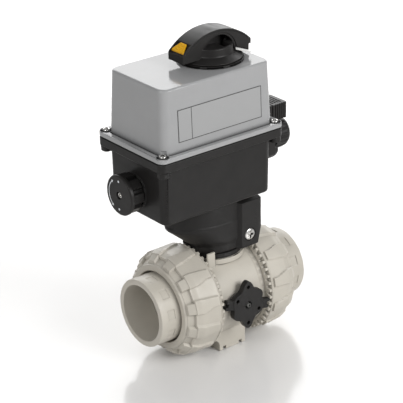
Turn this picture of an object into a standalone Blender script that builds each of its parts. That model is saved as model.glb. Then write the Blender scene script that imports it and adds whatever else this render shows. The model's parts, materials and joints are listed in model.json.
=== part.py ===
"""Motorized ball valve: a plastic true-union ball valve under an electric actuator with a manual selector.

The origin is on the stem axis, at the flat underside of the foot. +X runs along the pipe to the far end,
+Z is up, and the label is on the -Y side. Lengths are in millimetres until solid() scales them to metres.
The rest pose is the open valve. Each body that turns hangs from an empty on its joint axis.
"""
import math

import bmesh
import bpy
from mathutils import Matrix, Vector

MM = 0.001
GAP = 0.3

# Pipe, valve body and ball
PIPE_Z = 62.0
HALF_LENGTH = 99.5
BODY_R = 50.0
BODY_HALF = 55.0
CAVITY_R = 40.0
BORE_R = 25.0
BALL_R = 37.0
SEAT_R = (27.5, 34.0)
SEAT_BACK_X = 30.0
STEM_R = 9.0
STEM_COLLAR_R = 13.0
STEM_SQUARE = 12.0
SLOT_W = 8.0
PAD_R = 33.0
PAD_TOP = 109.7
FOOT_X, FOOT_Y = 18.0, 32.0

# End connectors and union nuts
SOCKET_R = 31.3
SOCKET_DEPTH = 38.0
CONNECTOR_R = 38.0
COLLAR_R, COLLAR_T = 46.5, 6.0
NUT_IN_X, NUT_OUT_X, NUT_R = 31.5, 76.0, 61.0
NUT_TEETH, NUT_LOBES = 45, 12
TOOTH_R = (53.0, 58.5)
TOOTH_T = 3.0
NUT_BORE_R = 50.6
NUT_OPENING_R = 40.2
# Distance from the stem axis, outer radius, and how far the panels' edges rise
NUT_STATIONS = ((34.5, 59.6, 0.0), (36.0, 60.8, 0.6), (58.0, 60.0, 1.8), (66.5, 57.2, 2.6),
                (67.2, 54.0, 0.0), (74.5, 52.0, 0.0), (NUT_OUT_X, 50.5, 0.0))

# Nut lock
LOCK_Y = (-60.0, -53.3)
LOCK_R = 20.8
LOCK_TILT = 15.0
ARM_REACH = 30.6
PIN_R = 3.0
LOCK_HOLES = ((0.0, 21.4), (0.0, -21.4), (14.6, -8.8), (-14.6, 8.8))

# Actuator: lower housing, cover and flange
HOUSING_X, HOUSING_Y = (-100.1, 44.3), 48.0
HOUSING_Z = (179.0, 252.0)
HOUSING_DRAFT = math.radians(1.0)
FLANGE_X, FLANGE_Y, FLANGE_R = (-108.1, 54.1), 55.5, 8.0
LIP_T = 9.5
GASKET_T = 0.6
COVER_Z = (HOUSING_Z[1] + GASKET_T + 0.2, 326.0)
COVER_PLATE_TOP = COVER_Z[0] + 5.2
SCREW_SEAT_Z = COVER_PLATE_TOP + 0.6
COVER_TOP_X, COVER_TOP_Y = (-97.0, 43.8), 45.5
COVER_DRAFT = math.radians(2.15)
CORNER_R = 10.0
WALL = 3.2
SCREW_INSET = 7.5
NECK_BOTTOM = 115.5
NECK_X, NECK_R = 60.5, 34.0
NECK_FLARE_Z, NECK_SLOPE = 124.5, 1.22
COLUMN_X, COLUMN_Y = (11.0, 40.0), 35.0
NECK_SCREW = (23.8, 129.7)
LABEL_X, LABEL_Z = (-79.8, 28.9), (267.8, 302.3)

# Drive train
GEAR_MODULE = 1.25
DRIVE_TEETH, IDLER_PINION_TEETH = 48, 16
IDLER_WHEEL_TEETH, MOTOR_TEETH = 36, 18
SHAFT_R = 8.0
DRIVE_GEAR_Z = (200.3, 206.3)
IDLER_PINION_Z = (199.5, 207.5)
IDLER_WHEEL_Z = (210.2, 213.6)
PLATE_Z = (216.0, 218.5)
IDLER_X = -GEAR_MODULE * (DRIVE_TEETH + IDLER_PINION_TEETH) / 2
MOTOR_X = IDLER_X - GEAR_MODULE * (IDLER_WHEEL_TEETH + MOTOR_TEETH) / 2

# Handle and selector knob
HANDLE_HALF, HANDLE_W = 44.8, 24.5
HANDLE_Z = (332.5, 360.0)
HANDLE_ARC_R = 62.4
HANDLE_HEEL_X, HANDLE_HEEL_Z = (36.2, 42.0), 328.9
ARCH_X, ARCH_Z, ARCH_R, ARCH_DEPTH = 3.0, 333.0, 20.5, 8.0
HUB_R, HUB_TOP_Z, SKIRT_R = 24.0, 343.5, 34.0
RING_R = 35.5
KNOB_Y, KNOB_Z = 2.0, 205.0
KNOB_R = 22.0
KNOB_X = (-120.5, -101.5)

# Electrical connectors on the +X wall
CONSOLE_X, CONSOLE_Y, CONSOLE_Z = (44.7, 58.5), (-36.0, 10.0), (195.0, 212.0, 241.9)
GLAND_Y, GLAND_Z, GLAND_R = -16.0, 229.5, 17.5
SMALL_Y, SMALL_Z, SMALL_R = -4.0, 204.0, 9.0
PLUG_Y, PLUG_Z, PLUG_X = (-30.0, -2.0), (249.0, 267.0), (60.1, 79.5)
PLUG_AXIS = (-16.0, 258.0)

COLOURS = {
    "beige_plastic": ((0.62, 0.58, 0.52), 0.45, 0.0),
    "ptfe": ((0.85, 0.85, 0.83), 0.4, 0.0),
    "black_rubber": ((0.02, 0.02, 0.02), 0.7, 0.0),
    "black_plastic": ((0.025, 0.025, 0.027), 0.5, 0.0),
    "grey_plastic": ((0.30, 0.30, 0.31), 0.3, 0.0),
    "label_film": ((0.36, 0.36, 0.35), 0.35, 0.0),
    "amber_plastic": ((0.80, 0.45, 0.02), 0.3, 0.0),
    "white_plastic": ((0.80, 0.80, 0.78), 0.4, 0.0),
    "steel": ((0.60, 0.60, 0.60), 0.3, 1.0),
    "brass": ((0.70, 0.52, 0.22), 0.35, 1.0),
    "gear_plastic": ((0.72, 0.70, 0.62), 0.45, 0.0),
    "circuit_green": ((0.02, 0.16, 0.06), 0.5, 0.0),
    "terminal_grey": ((0.25, 0.33, 0.30), 0.5, 0.0),
}


def clear_scene():
    for obj in list(bpy.data.objects):
        bpy.data.objects.remove(obj, do_unlink=True)


def material(name, slot):
    """One Principled material for one node."""
    colour, roughness, metallic = COLOURS[slot]
    made = bpy.data.materials.new(name)
    made.use_nodes = True
    shader = made.node_tree.nodes["Principled BSDF"]
    shader.inputs["Base Color"].default_value = (*colour, 1.0)
    shader.inputs["Roughness"].default_value = roughness
    shader.inputs["Metallic"].default_value = metallic
    return made


def pivot(name, x, y, z):
    """An empty on a joint axis."""
    empty = bpy.data.objects.new(name, None)
    empty.location = Vector((x, y, z)) * MM
    bpy.context.scene.collection.objects.link(empty)
    return empty


def solid(name, slot, mesh, parent=None, sharp=30.0):
    """Turns a bmesh in world millimetres into an object. Slot None makes a hidden helper."""
    bmesh.ops.remove_doubles(mesh, verts=mesh.verts, dist=1e-5)
    bmesh.ops.recalc_face_normals(mesh, faces=mesh.faces)
    mesh.transform(Matrix.Scale(MM, 4))
    if parent:
        mesh.transform(Matrix.Translation(-parent.location))
    data = bpy.data.meshes.new(name)
    mesh.to_mesh(data)
    mesh.free()
    obj = bpy.data.objects.new(name, data)
    bpy.context.scene.collection.objects.link(obj)
    obj.parent = parent
    if slot is None:
        obj.hide_render = True
        obj.display_type = "WIRE"
    else:
        data.materials.append(material(name, slot))
        data.shade_smooth()
        data.set_sharp_from_angle(angle=math.radians(sharp))
    return obj


def exact_boolean(obj, operation, helper):
    modifier = obj.modifiers.new(helper.name, "BOOLEAN")
    modifier.operation = operation
    modifier.solver = "EXACT"
    modifier.use_self = True
    modifier.object = helper


def combine(obj, operation, pieces):
    """One exact Boolean with all the helper meshes together, which may overlap each other."""
    merged = bmesh.new()
    for mesh in pieces:
        bmesh.ops.recalc_face_normals(mesh, faces=mesh.faces)
        step = bpy.data.meshes.new("step")
        mesh.to_mesh(step)
        mesh.free()
        merged.from_mesh(step)
        bpy.data.meshes.remove(step)
    exact_boolean(obj, operation, solid(f"{obj.name}_{operation.lower()}", None, merged, obj.parent))


def cut(obj, *pieces):
    combine(obj, "DIFFERENCE", pieces)


def join(obj, *pieces):
    combine(obj, "UNION", pieces)


def loft(sections):
    """A closed solid through rings of the same number of points, with flat ends."""
    mesh = bmesh.new()
    rings = [[mesh.verts.new(point) for point in section] for section in sections]
    for low, high in zip(rings, rings[1:]):
        for i in range(len(low)):
            j = (i + 1) % len(low)
            mesh.faces.new((low[i], low[j], high[j], high[i]))
    mesh.faces.new(rings[0][::-1])
    mesh.faces.new(rings[-1])
    return mesh


def placed(axis, u, v, w):
    """The point at w along an axis whose other two coordinates are u and v."""
    return {"Z": (u, v, w), "X": (w, u, v), "Y": (u, w, v)}[axis]


def prism(outline, low, high, axis="Z"):
    """Extrudes a 2D outline along an axis. The outline's (u, v) is (x, y), (y, z) or (x, z)."""
    return loft([[placed(axis, u, v, w) for u, v in outline] for w in (low, high)])


def box(x, y, z):
    return prism([(x[0], y[0]), (x[1], y[0]), (x[1], y[1]), (x[0], y[1])], *z)


def round_rect(x, y, radius, steps=3):
    """A rectangle outline with round corners, anticlockwise."""
    centres = ((x[1] - radius, y[1] - radius), (x[0] + radius, y[1] - radius),
               (x[0] + radius, y[0] + radius), (x[1] - radius, y[0] + radius))
    points = []
    for quarter, (cx, cy) in enumerate(centres):
        for step in range(steps + 1):
            angle = math.pi / 2 * (quarter + step / steps)
            points.append((cx + radius * math.cos(angle), cy + radius * math.sin(angle)))
    return points


def circle(u, v, radius, steps=16):
    turn = 2 * math.pi / steps
    return [(u + radius * math.cos(turn * i), v + radius * math.sin(turn * i)) for i in range(steps)]


def cylinder(axis, centre, radius, low, high, steps=16):
    return prism(circle(*centre, radius, steps), low, high, axis)


def revolve(profile, axis="Z", centre=(0.0, 0.0), steps=24):
    """Turns a closed profile of (radius, height) about an axis through the centre."""
    mesh = bmesh.new()
    rings = []
    for i in range(steps):
        angle = 2 * math.pi * i / steps
        ring = []
        for radius, height in profile:
            u = centre[0] + radius * math.cos(angle)
            v = centre[1] + radius * math.sin(angle)
            ring.append(mesh.verts.new(placed(axis, u, v, height)))
        rings.append(ring)
    for i in range(steps):
        here, there = rings[i], rings[(i + 1) % steps]
        for j in range(len(profile)):
            k = (j + 1) % len(profile)
            if profile[j][0] > 0 or profile[k][0] > 0:
                mesh.faces.new((here[j], there[j], there[k], here[k]))
    bmesh.ops.remove_doubles(mesh, verts=mesh.verts, dist=1e-6)
    bmesh.ops.dissolve_degenerate(mesh, edges=mesh.edges, dist=1e-6)
    return mesh


def ring_profile(inner, outer, low, high):
    return [(inner, low), (outer, low), (outer, high), (inner, high)]


def arc_points(u, v, radius, start, end, steps):
    """Points on an arc, with angles in degrees."""
    angles = [math.radians(start + (end - start) * i / steps) for i in range(steps + 1)]
    return [(u + radius * math.cos(a), v + radius * math.sin(a)) for a in angles]


def torus(axis, centre, at, major, minor, steps=16):
    """An O-ring."""
    profile = [(major + u, at + v) for u, v in circle(0, 0, minor, 5)]
    return revolve(profile, axis, centre, steps)


def about_pipe(sign, profile, steps):
    """Turns a profile of (radius, distance from the stem axis) about the pipe, on one side of the valve."""
    one_side = [(radius, sign * distance) for radius, distance in profile]
    return revolve(one_side, "X", (0.0, PIPE_Z), steps)


def gear_outline(teeth, phase=0.0):
    """Teeth with straight flanks, thinned so that two gears in mesh don't touch."""
    pitch_r = GEAR_MODULE * teeth / 2
    turn = 2 * math.pi / teeth
    points = []
    root, tip = pitch_r - 1.2 * GEAR_MODULE, pitch_r + 0.75 * GEAR_MODULE
    for tooth in range(teeth):
        middle = turn * (tooth + phase)
        points += [(root, middle - 0.34 * turn), (tip, middle - 0.1 * turn), (tip, middle + 0.1 * turn),
                   (root, middle + 0.34 * turn)]
    return [(radius * math.cos(angle), radius * math.sin(angle)) for radius, angle in points]


def shifted(outline, x, y=0.0):
    return [(u + x, v + y) for u, v in outline]


# Valve

def valve_body():
    """Tube with a foot, a stem pad, a locking lug and a boss for the nut lock."""
    groove = [(45.2, BODY_HALF), (45.2, 52.1), (41.8, 52.1), (41.8, BODY_HALF)]
    profile = [(CAVITY_R, -BODY_HALF), *[(r, -x) for r, x in groove[::-1]], (BODY_R, -BODY_HALF),
               (BODY_R, BODY_HALF), *groove, (CAVITY_R, BODY_HALF)]
    body = solid("valve_body", "beige_plastic", revolve(profile, "X", (0.0, PIPE_Z), 32))
    inside = CAVITY_R + 2
    foot_top = PIPE_Z - math.sqrt(BODY_R ** 2 - FOOT_Y ** 2) + 3
    waist = [(-FOOT_X, 0), (FOOT_X, 0), (FOOT_X, foot_top), (-FOOT_X, foot_top)]
    join(body,
         prism(waist, -FOOT_Y, FOOT_Y, "Y"),
         cylinder("Z", (0, 0), PAD_R, PIPE_Z + inside, PAD_TOP, 24),
         box((-30.8, -20), (-29.5, -26.5), (PIPE_Z + 34, 120)),
         cylinder("Y", (0, PIPE_Z), 12, LOCK_Y[1] + GAP, -inside))
    cut(body,
        cylinder("X", (0, PIPE_Z), CAVITY_R, -BODY_HALF + 3, BODY_HALF - 3, 32),
        cylinder("Z", (0, 0), PAD_R, PAD_TOP, PIPE_Z + BODY_R + 1, 24),
        cylinder("Z", (0, 0), STEM_COLLAR_R + GAP, PIPE_Z + 20, 102.4, 20),
        cylinder("Z", (0, 0), STEM_R + GAP, 100, PAD_TOP + 2),
        cylinder("Y", (0, PIPE_Z), PIN_R + GAP, -62, -inside - 1, 12),
        *[box((x - 2, x + 2), (-FOOT_Y - 1, FOOT_Y + 1), (-1, 4)) for x in (-11, 11)],
        *[cylinder("Z", (0, y), 4.3, -1, 12.3) for y in (-18, 18)])


def foot_inserts():
    """Threaded inserts in the underside of the foot."""
    for name, y in (("foot_insert_front", -18), ("foot_insert_back", 18)):
        solid(name, "brass", revolve(ring_profile(2.6, 4.0, 0.5, 12.0), "Z", (0.0, y), 12))


def ball(rotor):
    half = math.sqrt(BALL_R ** 2 - BORE_R ** 2)
    side = math.asin(half / BALL_R)
    arc = [(BALL_R * math.cos(a), BALL_R * math.sin(a)) for a in [side * (i / 4 - 1) for i in range(9)]]
    made = solid("ball", "beige_plastic", revolve(arc, "X", (0.0, PIPE_Z), 24), rotor)
    top = PIPE_Z + BALL_R
    cut(made, box((-BALL_R, BALL_R), (-SLOT_W / 2 - GAP, SLOT_W / 2 + GAP), (top - 8, top + 2)))


def stem(rotor):
    """Tang in the ball's slot, collar inside the body, two O-ring grooves and a square drive end."""
    grooves = [(STEM_R, 104.4), (7.4, 104.4), (7.4, 106.4), (STEM_R, 106.4),
               (STEM_R, 107.3), (7.4, 107.3), (7.4, 109.3), (STEM_R, 109.3)]
    profile = [(0, 99.6), (STEM_COLLAR_R, 99.6), (STEM_COLLAR_R, 102.1), (STEM_R, 102.1), *grooves,
               (STEM_R, 124.0), (0, 124.0)]
    made = solid("stem", "beige_plastic", revolve(profile, steps=16), rotor)
    half = STEM_SQUARE / 2
    join(made,
         box((-11, 11), (-SLOT_W / 2, SLOT_W / 2), (91.4, 100.6)),
         box((-half, half), (-half, half), (123, 140)))
    for name, z in (("stem_oring_lower", 105.4), ("stem_oring_upper", 108.3)):
        solid(name, "black_rubber", torus("Z", (0, 0), z, 8.4, 0.7), rotor)


def ball_seats_and_carriers():
    for side, sign in (("near", -1), ("far", 1)):
        seat = [(SEAT_R[0], 25.4), (SEAT_R[0], SEAT_BACK_X), (SEAT_R[1], SEAT_BACK_X), (SEAT_R[1], 19.5)]
        solid(f"ball_seat_{side}", "ptfe", about_pipe(sign, seat, 24))
        back = SEAT_BACK_X + GAP
        carrier = ring_profile(BORE_R, CAVITY_R - GAP, back, BODY_HALF - GAP)
        solid(f"seat_carrier_{side}", "beige_plastic", about_pipe(sign, carrier, 28))
        ring = torus("X", (0.0, PIPE_Z), sign * 53.6, 43.5, 1.2, 24)
        solid(f"socket_oring_{side}", "black_rubber", ring)


def end_connector(side, sign):
    """Collar held by the union nut, and a plain socket for the pipe."""
    start, end = BODY_HALF + GAP, HALF_LENGTH
    floor = end - SOCKET_DEPTH
    profile = [(BORE_R, start), (COLLAR_R, start), (COLLAR_R, start + COLLAR_T),
               (CONNECTOR_R, start + COLLAR_T), (CONNECTOR_R, end - 1.5), (CONNECTOR_R - 1.5, end),
               (SOCKET_R + 1, end), (SOCKET_R, end - 1), (SOCKET_R, floor), (BORE_R, floor)]
    solid(f"end_connector_{side}", "beige_plastic", about_pipe(sign, profile, 28))


def union_nut(side, sign, parent):
    """Twelve stepped grip panels, a bore that clears the thread, and lock teeth at the inner end."""
    sections = []
    for x, radius, rise in NUT_STATIONS:
        ring = []
        for lobe in range(NUT_LOBES):
            for sector in (0.0, 0.45, 0.94):
                angle = sign * 2 * math.pi * (lobe + sector) / NUT_LOBES
                reach = radius + rise * (0.5 - sector)
                ring.append((sign * x, reach * math.cos(angle), PIPE_Z + reach * math.sin(angle)))
        sections.append(ring)
    nut = solid(f"union_nut_{side}", "beige_plastic", loft(sections), parent)
    root, tip = TOOTH_R
    teeth = []
    for tooth in range(NUT_TEETH):
        for radius, place in ((root, -0.4), (tip, -0.2), (tip, 0.2), (root, 0.4)):
            angle = 2 * math.pi * (tooth + place) / NUT_TEETH
            teeth.append((radius * math.cos(angle), PIPE_Z + radius * math.sin(angle)))
    join(nut, prism(teeth, sign * NUT_IN_X, sign * (NUT_IN_X + TOOTH_T + 1), "X"))
    thread_end = BODY_HALF + COLLAR_T + 2 * GAP
    cut(nut,
        cylinder("X", (0, PIPE_Z), NUT_BORE_R, sign * 30, sign * thread_end, 30),
        cylinder("X", (0, PIPE_Z), NUT_OPENING_R, sign * (thread_end - 1), sign * 80, 30))


def nut_lock(parent):
    """Flower-shaped disc with two arms that reach for the teeth of the nuts."""
    outline = []
    for degrees in range(0, 360, 10):
        angle = math.radians(degrees)
        radius = LOCK_R + 1.8 * math.cos(6 * angle + math.pi) + 5.6 * abs(math.sin(angle)) ** 26
        outline.append((radius * math.cos(angle), PIPE_Z + radius * math.sin(angle)))
    lock = solid("nut_lock", "black_plastic", prism(outline, *LOCK_Y, "Y"), parent)
    tilt = Matrix.Rotation(math.radians(LOCK_TILT), 4, "Y")
    about = Matrix.Translation((0, 0, PIPE_Z))
    arms = []
    for sign in (-1, 1):
        reach = sorted((sign * (LOCK_R - 6), sign * ARM_REACH))
        arm = box(reach, (LOCK_Y[0] + 1, LOCK_Y[1]), (PIPE_Z - 5.5, PIPE_Z + 5.5))
        arm.transform(about @ tilt @ about.inverted())
        arms.append(arm)
    join(lock, *arms)
    front, back = LOCK_Y
    cut(lock,
        cylinder("Y", (0, PIPE_Z), PIN_R + GAP, front - 1, back + 1, 12),
        *[cylinder("Y", (x, PIPE_Z + z), 1.9, front - 1, front + 3, 8) for x, z in LOCK_HOLES])


def nut_lock_pin():
    head = LOCK_Y[0] - GAP
    profile = [(0, head - 1.2), (2.2, head - 1.2), (2.6, head - 0.6), (2.6, -44.0), (0, -44.0)]
    solid("nut_lock_pin", "grey_plastic", revolve(profile, "Y", (0.0, PIPE_Z), 10))


def mounting_plate():
    """Collar between the valve's pad and the neck of the actuator."""
    profile = ring_profile(STEM_R + GAP, 31.0, PAD_TOP + GAP, NECK_BOTTOM - GAP)
    solid("mounting_plate", "black_plastic", revolve(profile))


# Actuator housing

def drafted(x, y, inset, radius, z):
    """One level of a housing: a round rectangle moved in by the inset."""
    outline = round_rect((x[0] + inset, x[1] - inset), (-y + inset, y - inset), max(radius - inset, 1.0))
    return [(u, v, z) for u, v in outline]


def housing_shell(inset=0.0, low=0.0, high=0.0):
    """The box of the lower housing, for the outside and, moved in, for the inside."""
    bottom, top = HOUSING_Z[0] + low, HOUSING_Z[1] + high
    levels = [(bottom, 4.5), (bottom + 1.5, 1.8), (bottom + 4.5, 0.0), (top, 0.0)]
    sections = []
    for z, edge in levels:
        draft = (HOUSING_Z[1] - z) * math.tan(HOUSING_DRAFT)
        sections.append(drafted(HOUSING_X, HOUSING_Y, inset + edge + draft, CORNER_R, z))
    return loft(sections)


def neck():
    """Round foot that flares up to the housing. Its +X side is short, inside the screw column."""
    sections = []
    for z in (NECK_BOTTOM, NECK_BOTTOM + 1.5, NECK_FLARE_Z, 136.0, 145.8, HOUSING_Z[0] + 2.5):
        flare = max(0.0, z - NECK_FLARE_Z) * NECK_SLOPE
        foot_edge = 1.0 if z == NECK_BOTTOM else 0.0
        reach = min(NECK_X, NECK_R + flare) - foot_edge
        half_width = min(32.0, 30.5 + flare / 4) - foot_edge
        ring = []
        for u, v in circle(0, 0, 1.0, 24):
            ring.append((u * (reach if u < 0 else min(reach, COLUMN_X[1] - 2)), v * half_width, z))
        sections.append(ring)
    return loft(sections)


def column():
    """Squared tower at the +X side of the neck, which holds the two clamp screws."""
    (start, end), side, bevel = COLUMN_X, COLUMN_Y, COLUMN_Y - 4
    front = [(start - 9, -bevel), (start, -side), (end - 9, -side), (end, -bevel)]
    plan = front + [(x, -y) for x, y in front[::-1]]
    return prism(plan, NECK_BOTTOM + 0.5, HOUSING_Z[0] + 2.5)


def flange_screws():
    return [(x, y) for x in (FLANGE_X[0] + SCREW_INSET, FLANGE_X[1] - SCREW_INSET)
            for y in (-FLANGE_Y + SCREW_INSET, FLANGE_Y - SCREW_INSET)]


def lower_housing():
    """Open box with a flange lip, a neck and a screw column."""
    housing = solid("lower_housing", "black_plastic", housing_shell())
    lip = prism(round_rect(FLANGE_X, (-FLANGE_Y, FLANGE_Y), FLANGE_R), HOUSING_Z[1] - LIP_T, HOUSING_Z[1])
    bosses = [cylinder("Z", spot, 7.0, 236.0, HOUSING_Z[1] - LIP_T + 1, 12) for spot in flange_screws()]
    join(housing, lip, neck(), column(), *bosses)
    knob_boss = cylinder("X", (KNOB_Y, KNOB_Z), 19.0, KNOB_X[1] + GAP, HOUSING_X[0] + 2, 24)
    cup = [(0, HOUSING_Z[0] + 1.5), (7, HOUSING_Z[0] + 1.5), (7, 195), (3.3, 195), (3.3, 186), (0, 186)]
    floor_boss = revolve(cup, "Z", (IDLER_X, 0.0), 12)
    join(housing, knob_boss)
    cut(housing, housing_shell(WALL, WALL, 2.0))
    join(housing, floor_boss)
    corner = COLUMN_X[1] + 1
    chamfer = prism([(corner, NECK_BOTTOM - 1), (corner, 138.0), (34.9, NECK_BOTTOM - 1)], -40, 40, "Y")
    floor = HOUSING_Z[0] + WALL
    shaft_way = [(0, NECK_BOTTOM - 1), (14.3, NECK_BOTTOM - 1), (14.3, 150.3), (10.3, 150.3),
                 (10.3, floor + 1), (0, floor + 1)]
    cut(housing, chamfer, revolve(shaft_way, steps=20),
        *[cylinder("X", (0, PIPE_Z), NUT_R + 1.8, s * (NUT_IN_X - 0.5), s * 110, 32) for s in (-1, 1)],
        cylinder("X", (KNOB_Y, KNOB_Z), 5.0, KNOB_X[0], HOUSING_X[0] + 8, 12),
        *[cylinder("X", (y, z), 6.0, HOUSING_X[1] - 8, HOUSING_X[1] + 2, 12)
          for y, z in ((GLAND_Y, GLAND_Z), (SMALL_Y, SMALL_Z))],
        *[cylinder("Z", spot, 2.4, 238.0, HOUSING_Z[1] + 1, 12) for spot in flange_screws()],
        *[cylinder("Y", NECK_SCREW, 6.4, s * (COLUMN_Y - 2.4), s * (COLUMN_Y + 1)) for s in (-1, 1)],
        *[cylinder("Y", NECK_SCREW, 3.0, s * 18, s * COLUMN_Y, 12) for s in (-1, 1)])


def housing_gasket():
    """Flat ring on the rim of the lower housing, inside the four screws."""
    low = HOUSING_Z[1] + 0.1

    def outline(inset):
        x = (HOUSING_X[0] + inset, HOUSING_X[1] - inset)
        return round_rect(x, (-HOUSING_Y + inset, HOUSING_Y - inset), CORNER_R - inset)

    gasket = solid("housing_gasket", "black_rubber", prism(outline(-1.0), low, low + GASKET_T))
    cut(gasket, prism(outline(WALL), low - 2, low + GASKET_T + 2))


def cover_level(z, inset):
    draft = (COVER_Z[1] - z) * math.tan(COVER_DRAFT)
    return drafted(COVER_TOP_X, COVER_TOP_Y, inset - draft, CORNER_R - draft, z)


def cover():
    """Drafted cap on a flat flange with a groove, four screw seats and a shaft hole under the handle."""
    low, top = COVER_Z
    plate_top = COVER_PLATE_TOP
    outline = round_rect(FLANGE_X, (-FLANGE_Y, FLANGE_Y), FLANGE_R)
    made = solid("cover", "grey_plastic", prism(outline, low, plate_top))
    join(made, loft([cover_level(low + 1, 0.0), cover_level(top - 3.5, 0.0),
                     cover_level(top - 1.2, 1.0), cover_level(top, 3.4)]))
    rim = 4.6
    inside_rim = round_rect((FLANGE_X[0] + rim, FLANGE_X[1] - rim), (-FLANGE_Y + rim, FLANGE_Y - rim),
                            FLANGE_R)
    groove = solid("cover_groove", None, prism(inside_rim, plate_top - 1.4, plate_top + 1))
    cut(groove, loft([cover_level(plate_top - 5, -1.7), cover_level(plate_top + 4, -1.7)]))
    exact_boolean(made, "DIFFERENCE", groove)
    cut(made, *[cylinder("Z", spot, 6.4, plate_top - 2.2, plate_top + 4.5, 12) for spot in flange_screws()])
    top_inside = top - WALL
    cut(made, loft([cover_level(low - 2, WALL), cover_level(top_inside - 3, WALL),
                    cover_level(top_inside, WALL + 3)]))
    join(made, cylinder("Z", (0, 0), 15.0, 313.0, top - 1))
    join(made, *[cylinder("Z", spot, 4.6, low + 1, SCREW_SEAT_Z, 12) for spot in flange_screws()])
    cut(made,
        cylinder("Z", (0, 0), SHAFT_R + 0.4, 310, top + 2),
        cylinder("Z", (0, 0), 11.4, 312, 318.5),
        *[cylinder("Z", spot, 2.4, low - 1, plate_top + 3, 12) for spot in flange_screws()])


def cover_screws():
    base = SCREW_SEAT_Z + 0.1
    for number, spot in enumerate(flange_screws(), 1):
        profile = [(0, 240.0), (2.1, 240.0), (2.1, base), (3.4, base), (3.4, base + 1.4), (2.8, base + 2.6),
                   (1.9, base + 3.0), (1.5, base + 1.2), (0, base + 1.2)]
        solid(f"cover_screw_{number}", "steel", revolve(profile, "Z", spot, 10))


def neck_screws():
    for name, sign in (("neck_screw_front", -1), ("neck_screw_back", 1)):
        face = COLUMN_Y - 2.4 + 0.1
        profile = [(0, 19.0), (2.6, 19.0), (2.6, face), (5.9, face), (5.9, face + 1.6), (4.6, face + 2.8),
                   (1.8, face + 3.0), (1.2, face + 1.2), (0, face + 1.2)]
        turned = [(r, sign * y) for r, y in profile]
        solid(name, "steel", revolve(turned, "Y", NECK_SCREW, 12))


def label_plate():
    """Film on the drafted front of the cover."""
    outline = [(x, z) for z, x_pair in zip(LABEL_Z, (LABEL_X, LABEL_X[::-1])) for x in x_pair]
    slope = math.tan(COVER_DRAFT)
    sections = []
    for lift in (0.12, 0.42):
        sections.append([(x, -COVER_TOP_Y - (COVER_Z[1] - z) * slope - lift, z) for x, z in outline])
    solid("label_plate", "label_film", loft(sections))


# Drive train

def output_shaft(drive):
    """Socket for the stem's square, journal in the neck and a long thin shaft up to the handle."""
    profile = [(0, 122.0), (14.0, 122.0), (14.0, 150.0), (10.0, 150.0), (10.0, 200.0), (SHAFT_R, 200.0),
               (SHAFT_R, 338.0), (0, 338.0)]
    shaft = solid("output_shaft", "steel", revolve(profile, steps=20), drive)
    half = STEM_SQUARE / 2 + GAP
    cut(shaft, box((-half, half), (-half, half), (121, 141)), cylinder("Z", (0, 0), STEM_R + GAP, 121, 124.5))


def output_gear(drive):
    teeth = prism(gear_outline(DRIVE_TEETH), *DRIVE_GEAR_Z)
    gear = solid("output_gear", "gear_plastic", teeth, drive, 20.0)
    cut(gear, cylinder("Z", (0, 0), SHAFT_R + 0.2, DRIVE_GEAR_Z[0] - 1, DRIVE_GEAR_Z[1] + 1))


def idler_gear(parent):
    """Small pinion, large wheel and axle in one moulding."""
    pinion = shifted(gear_outline(IDLER_PINION_TEETH, 0.5), IDLER_X)
    made = solid("idler_gear", "gear_plastic", prism(pinion, *IDLER_PINION_Z), parent, 20.0)
    wheel = shifted(gear_outline(IDLER_WHEEL_TEETH, 0.5), IDLER_X)
    join(made,
         prism(wheel, *IDLER_WHEEL_Z),
         cylinder("Z", (IDLER_X, 0), 5.5, IDLER_PINION_Z[0] + 1, IDLER_WHEEL_Z[0] + 1, 12),
         cylinder("Z", (IDLER_X, 0), 2.9, 187.0, PLATE_Z[1] - 0.5, 12))


def motor_pinion(parent):
    low, high = IDLER_WHEEL_Z
    teeth = shifted(gear_outline(MOTOR_TEETH), MOTOR_X)
    made = solid("motor_pinion", "brass", prism(teeth, low, high + 0.8), parent, 20.0)
    join(made, cylinder("Z", (MOTOR_X, 0), 2.0, high, 230.0, 10))


def gear_plate():
    """Plate on four legs that carries the motor over the gears."""
    made = solid("gear_plate", "steel", prism(round_rect((-94, -20), (-40, 40), 4), *PLATE_Z))
    floor = HOUSING_Z[0] + WALL + GAP
    join(made, *[cylinder("Z", (x, y), 3.0, floor, PLATE_Z[0] + 1, 8) for x in (-86, -26) for y in (-34, 34)])
    cut(made,
        cylinder("Z", (IDLER_X, 0), 3.2, PLATE_Z[0] - 1, PLATE_Z[1] + 1, 12),
        cylinder("Z", (MOTOR_X, 0), 2.5, PLATE_Z[0] - 1, PLATE_Z[1] + 1, 12))


def motor():
    base = PLATE_Z[1] + GAP
    profile = [(0, base), (17.5, base), (18.5, base + 1), (18.5, 256.0), (17.0, 258.0), (6.0, 258.0),
               (6.0, 261.0), (0, 261.0)]
    made = solid("motor", "steel", revolve(profile, "Z", (MOTOR_X, 0), 20))
    cut(made, cylinder("Z", (MOTOR_X, 0), 2.4, base - 1, 231.0, 12))


def capacitor():
    base = PLATE_Z[1] + GAP
    profile = [(0, base), (8, base), (9, base + 1), (9, 246), (8, 247), (0, 247)]
    solid("capacitor", "black_plastic", revolve(profile, "Z", (-36, -27), 14))


def position_cams(drive):
    """Two rings on the shaft whose noses press the limit switches at the two ends of travel."""
    for name, z, nose in (("cam_closed", 272.0, 60.0), ("cam_open", 283.0, -30.0)):
        points = []
        for degrees in range(0, 360, 10):
            from_nose = abs((degrees - nose + 180) % 360 - 180)
            radius = 17.0 if from_nose < 25 else 14.0
            angle = math.radians(degrees)
            points.append((radius * math.cos(angle), radius * math.sin(angle)))
        made = solid(name, "white_plastic", prism(points, z, z + 8), drive, 20.0)
        cut(made, cylinder("Z", (0, 0), SHAFT_R + 0.2, z - 1, z + 9))


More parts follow.
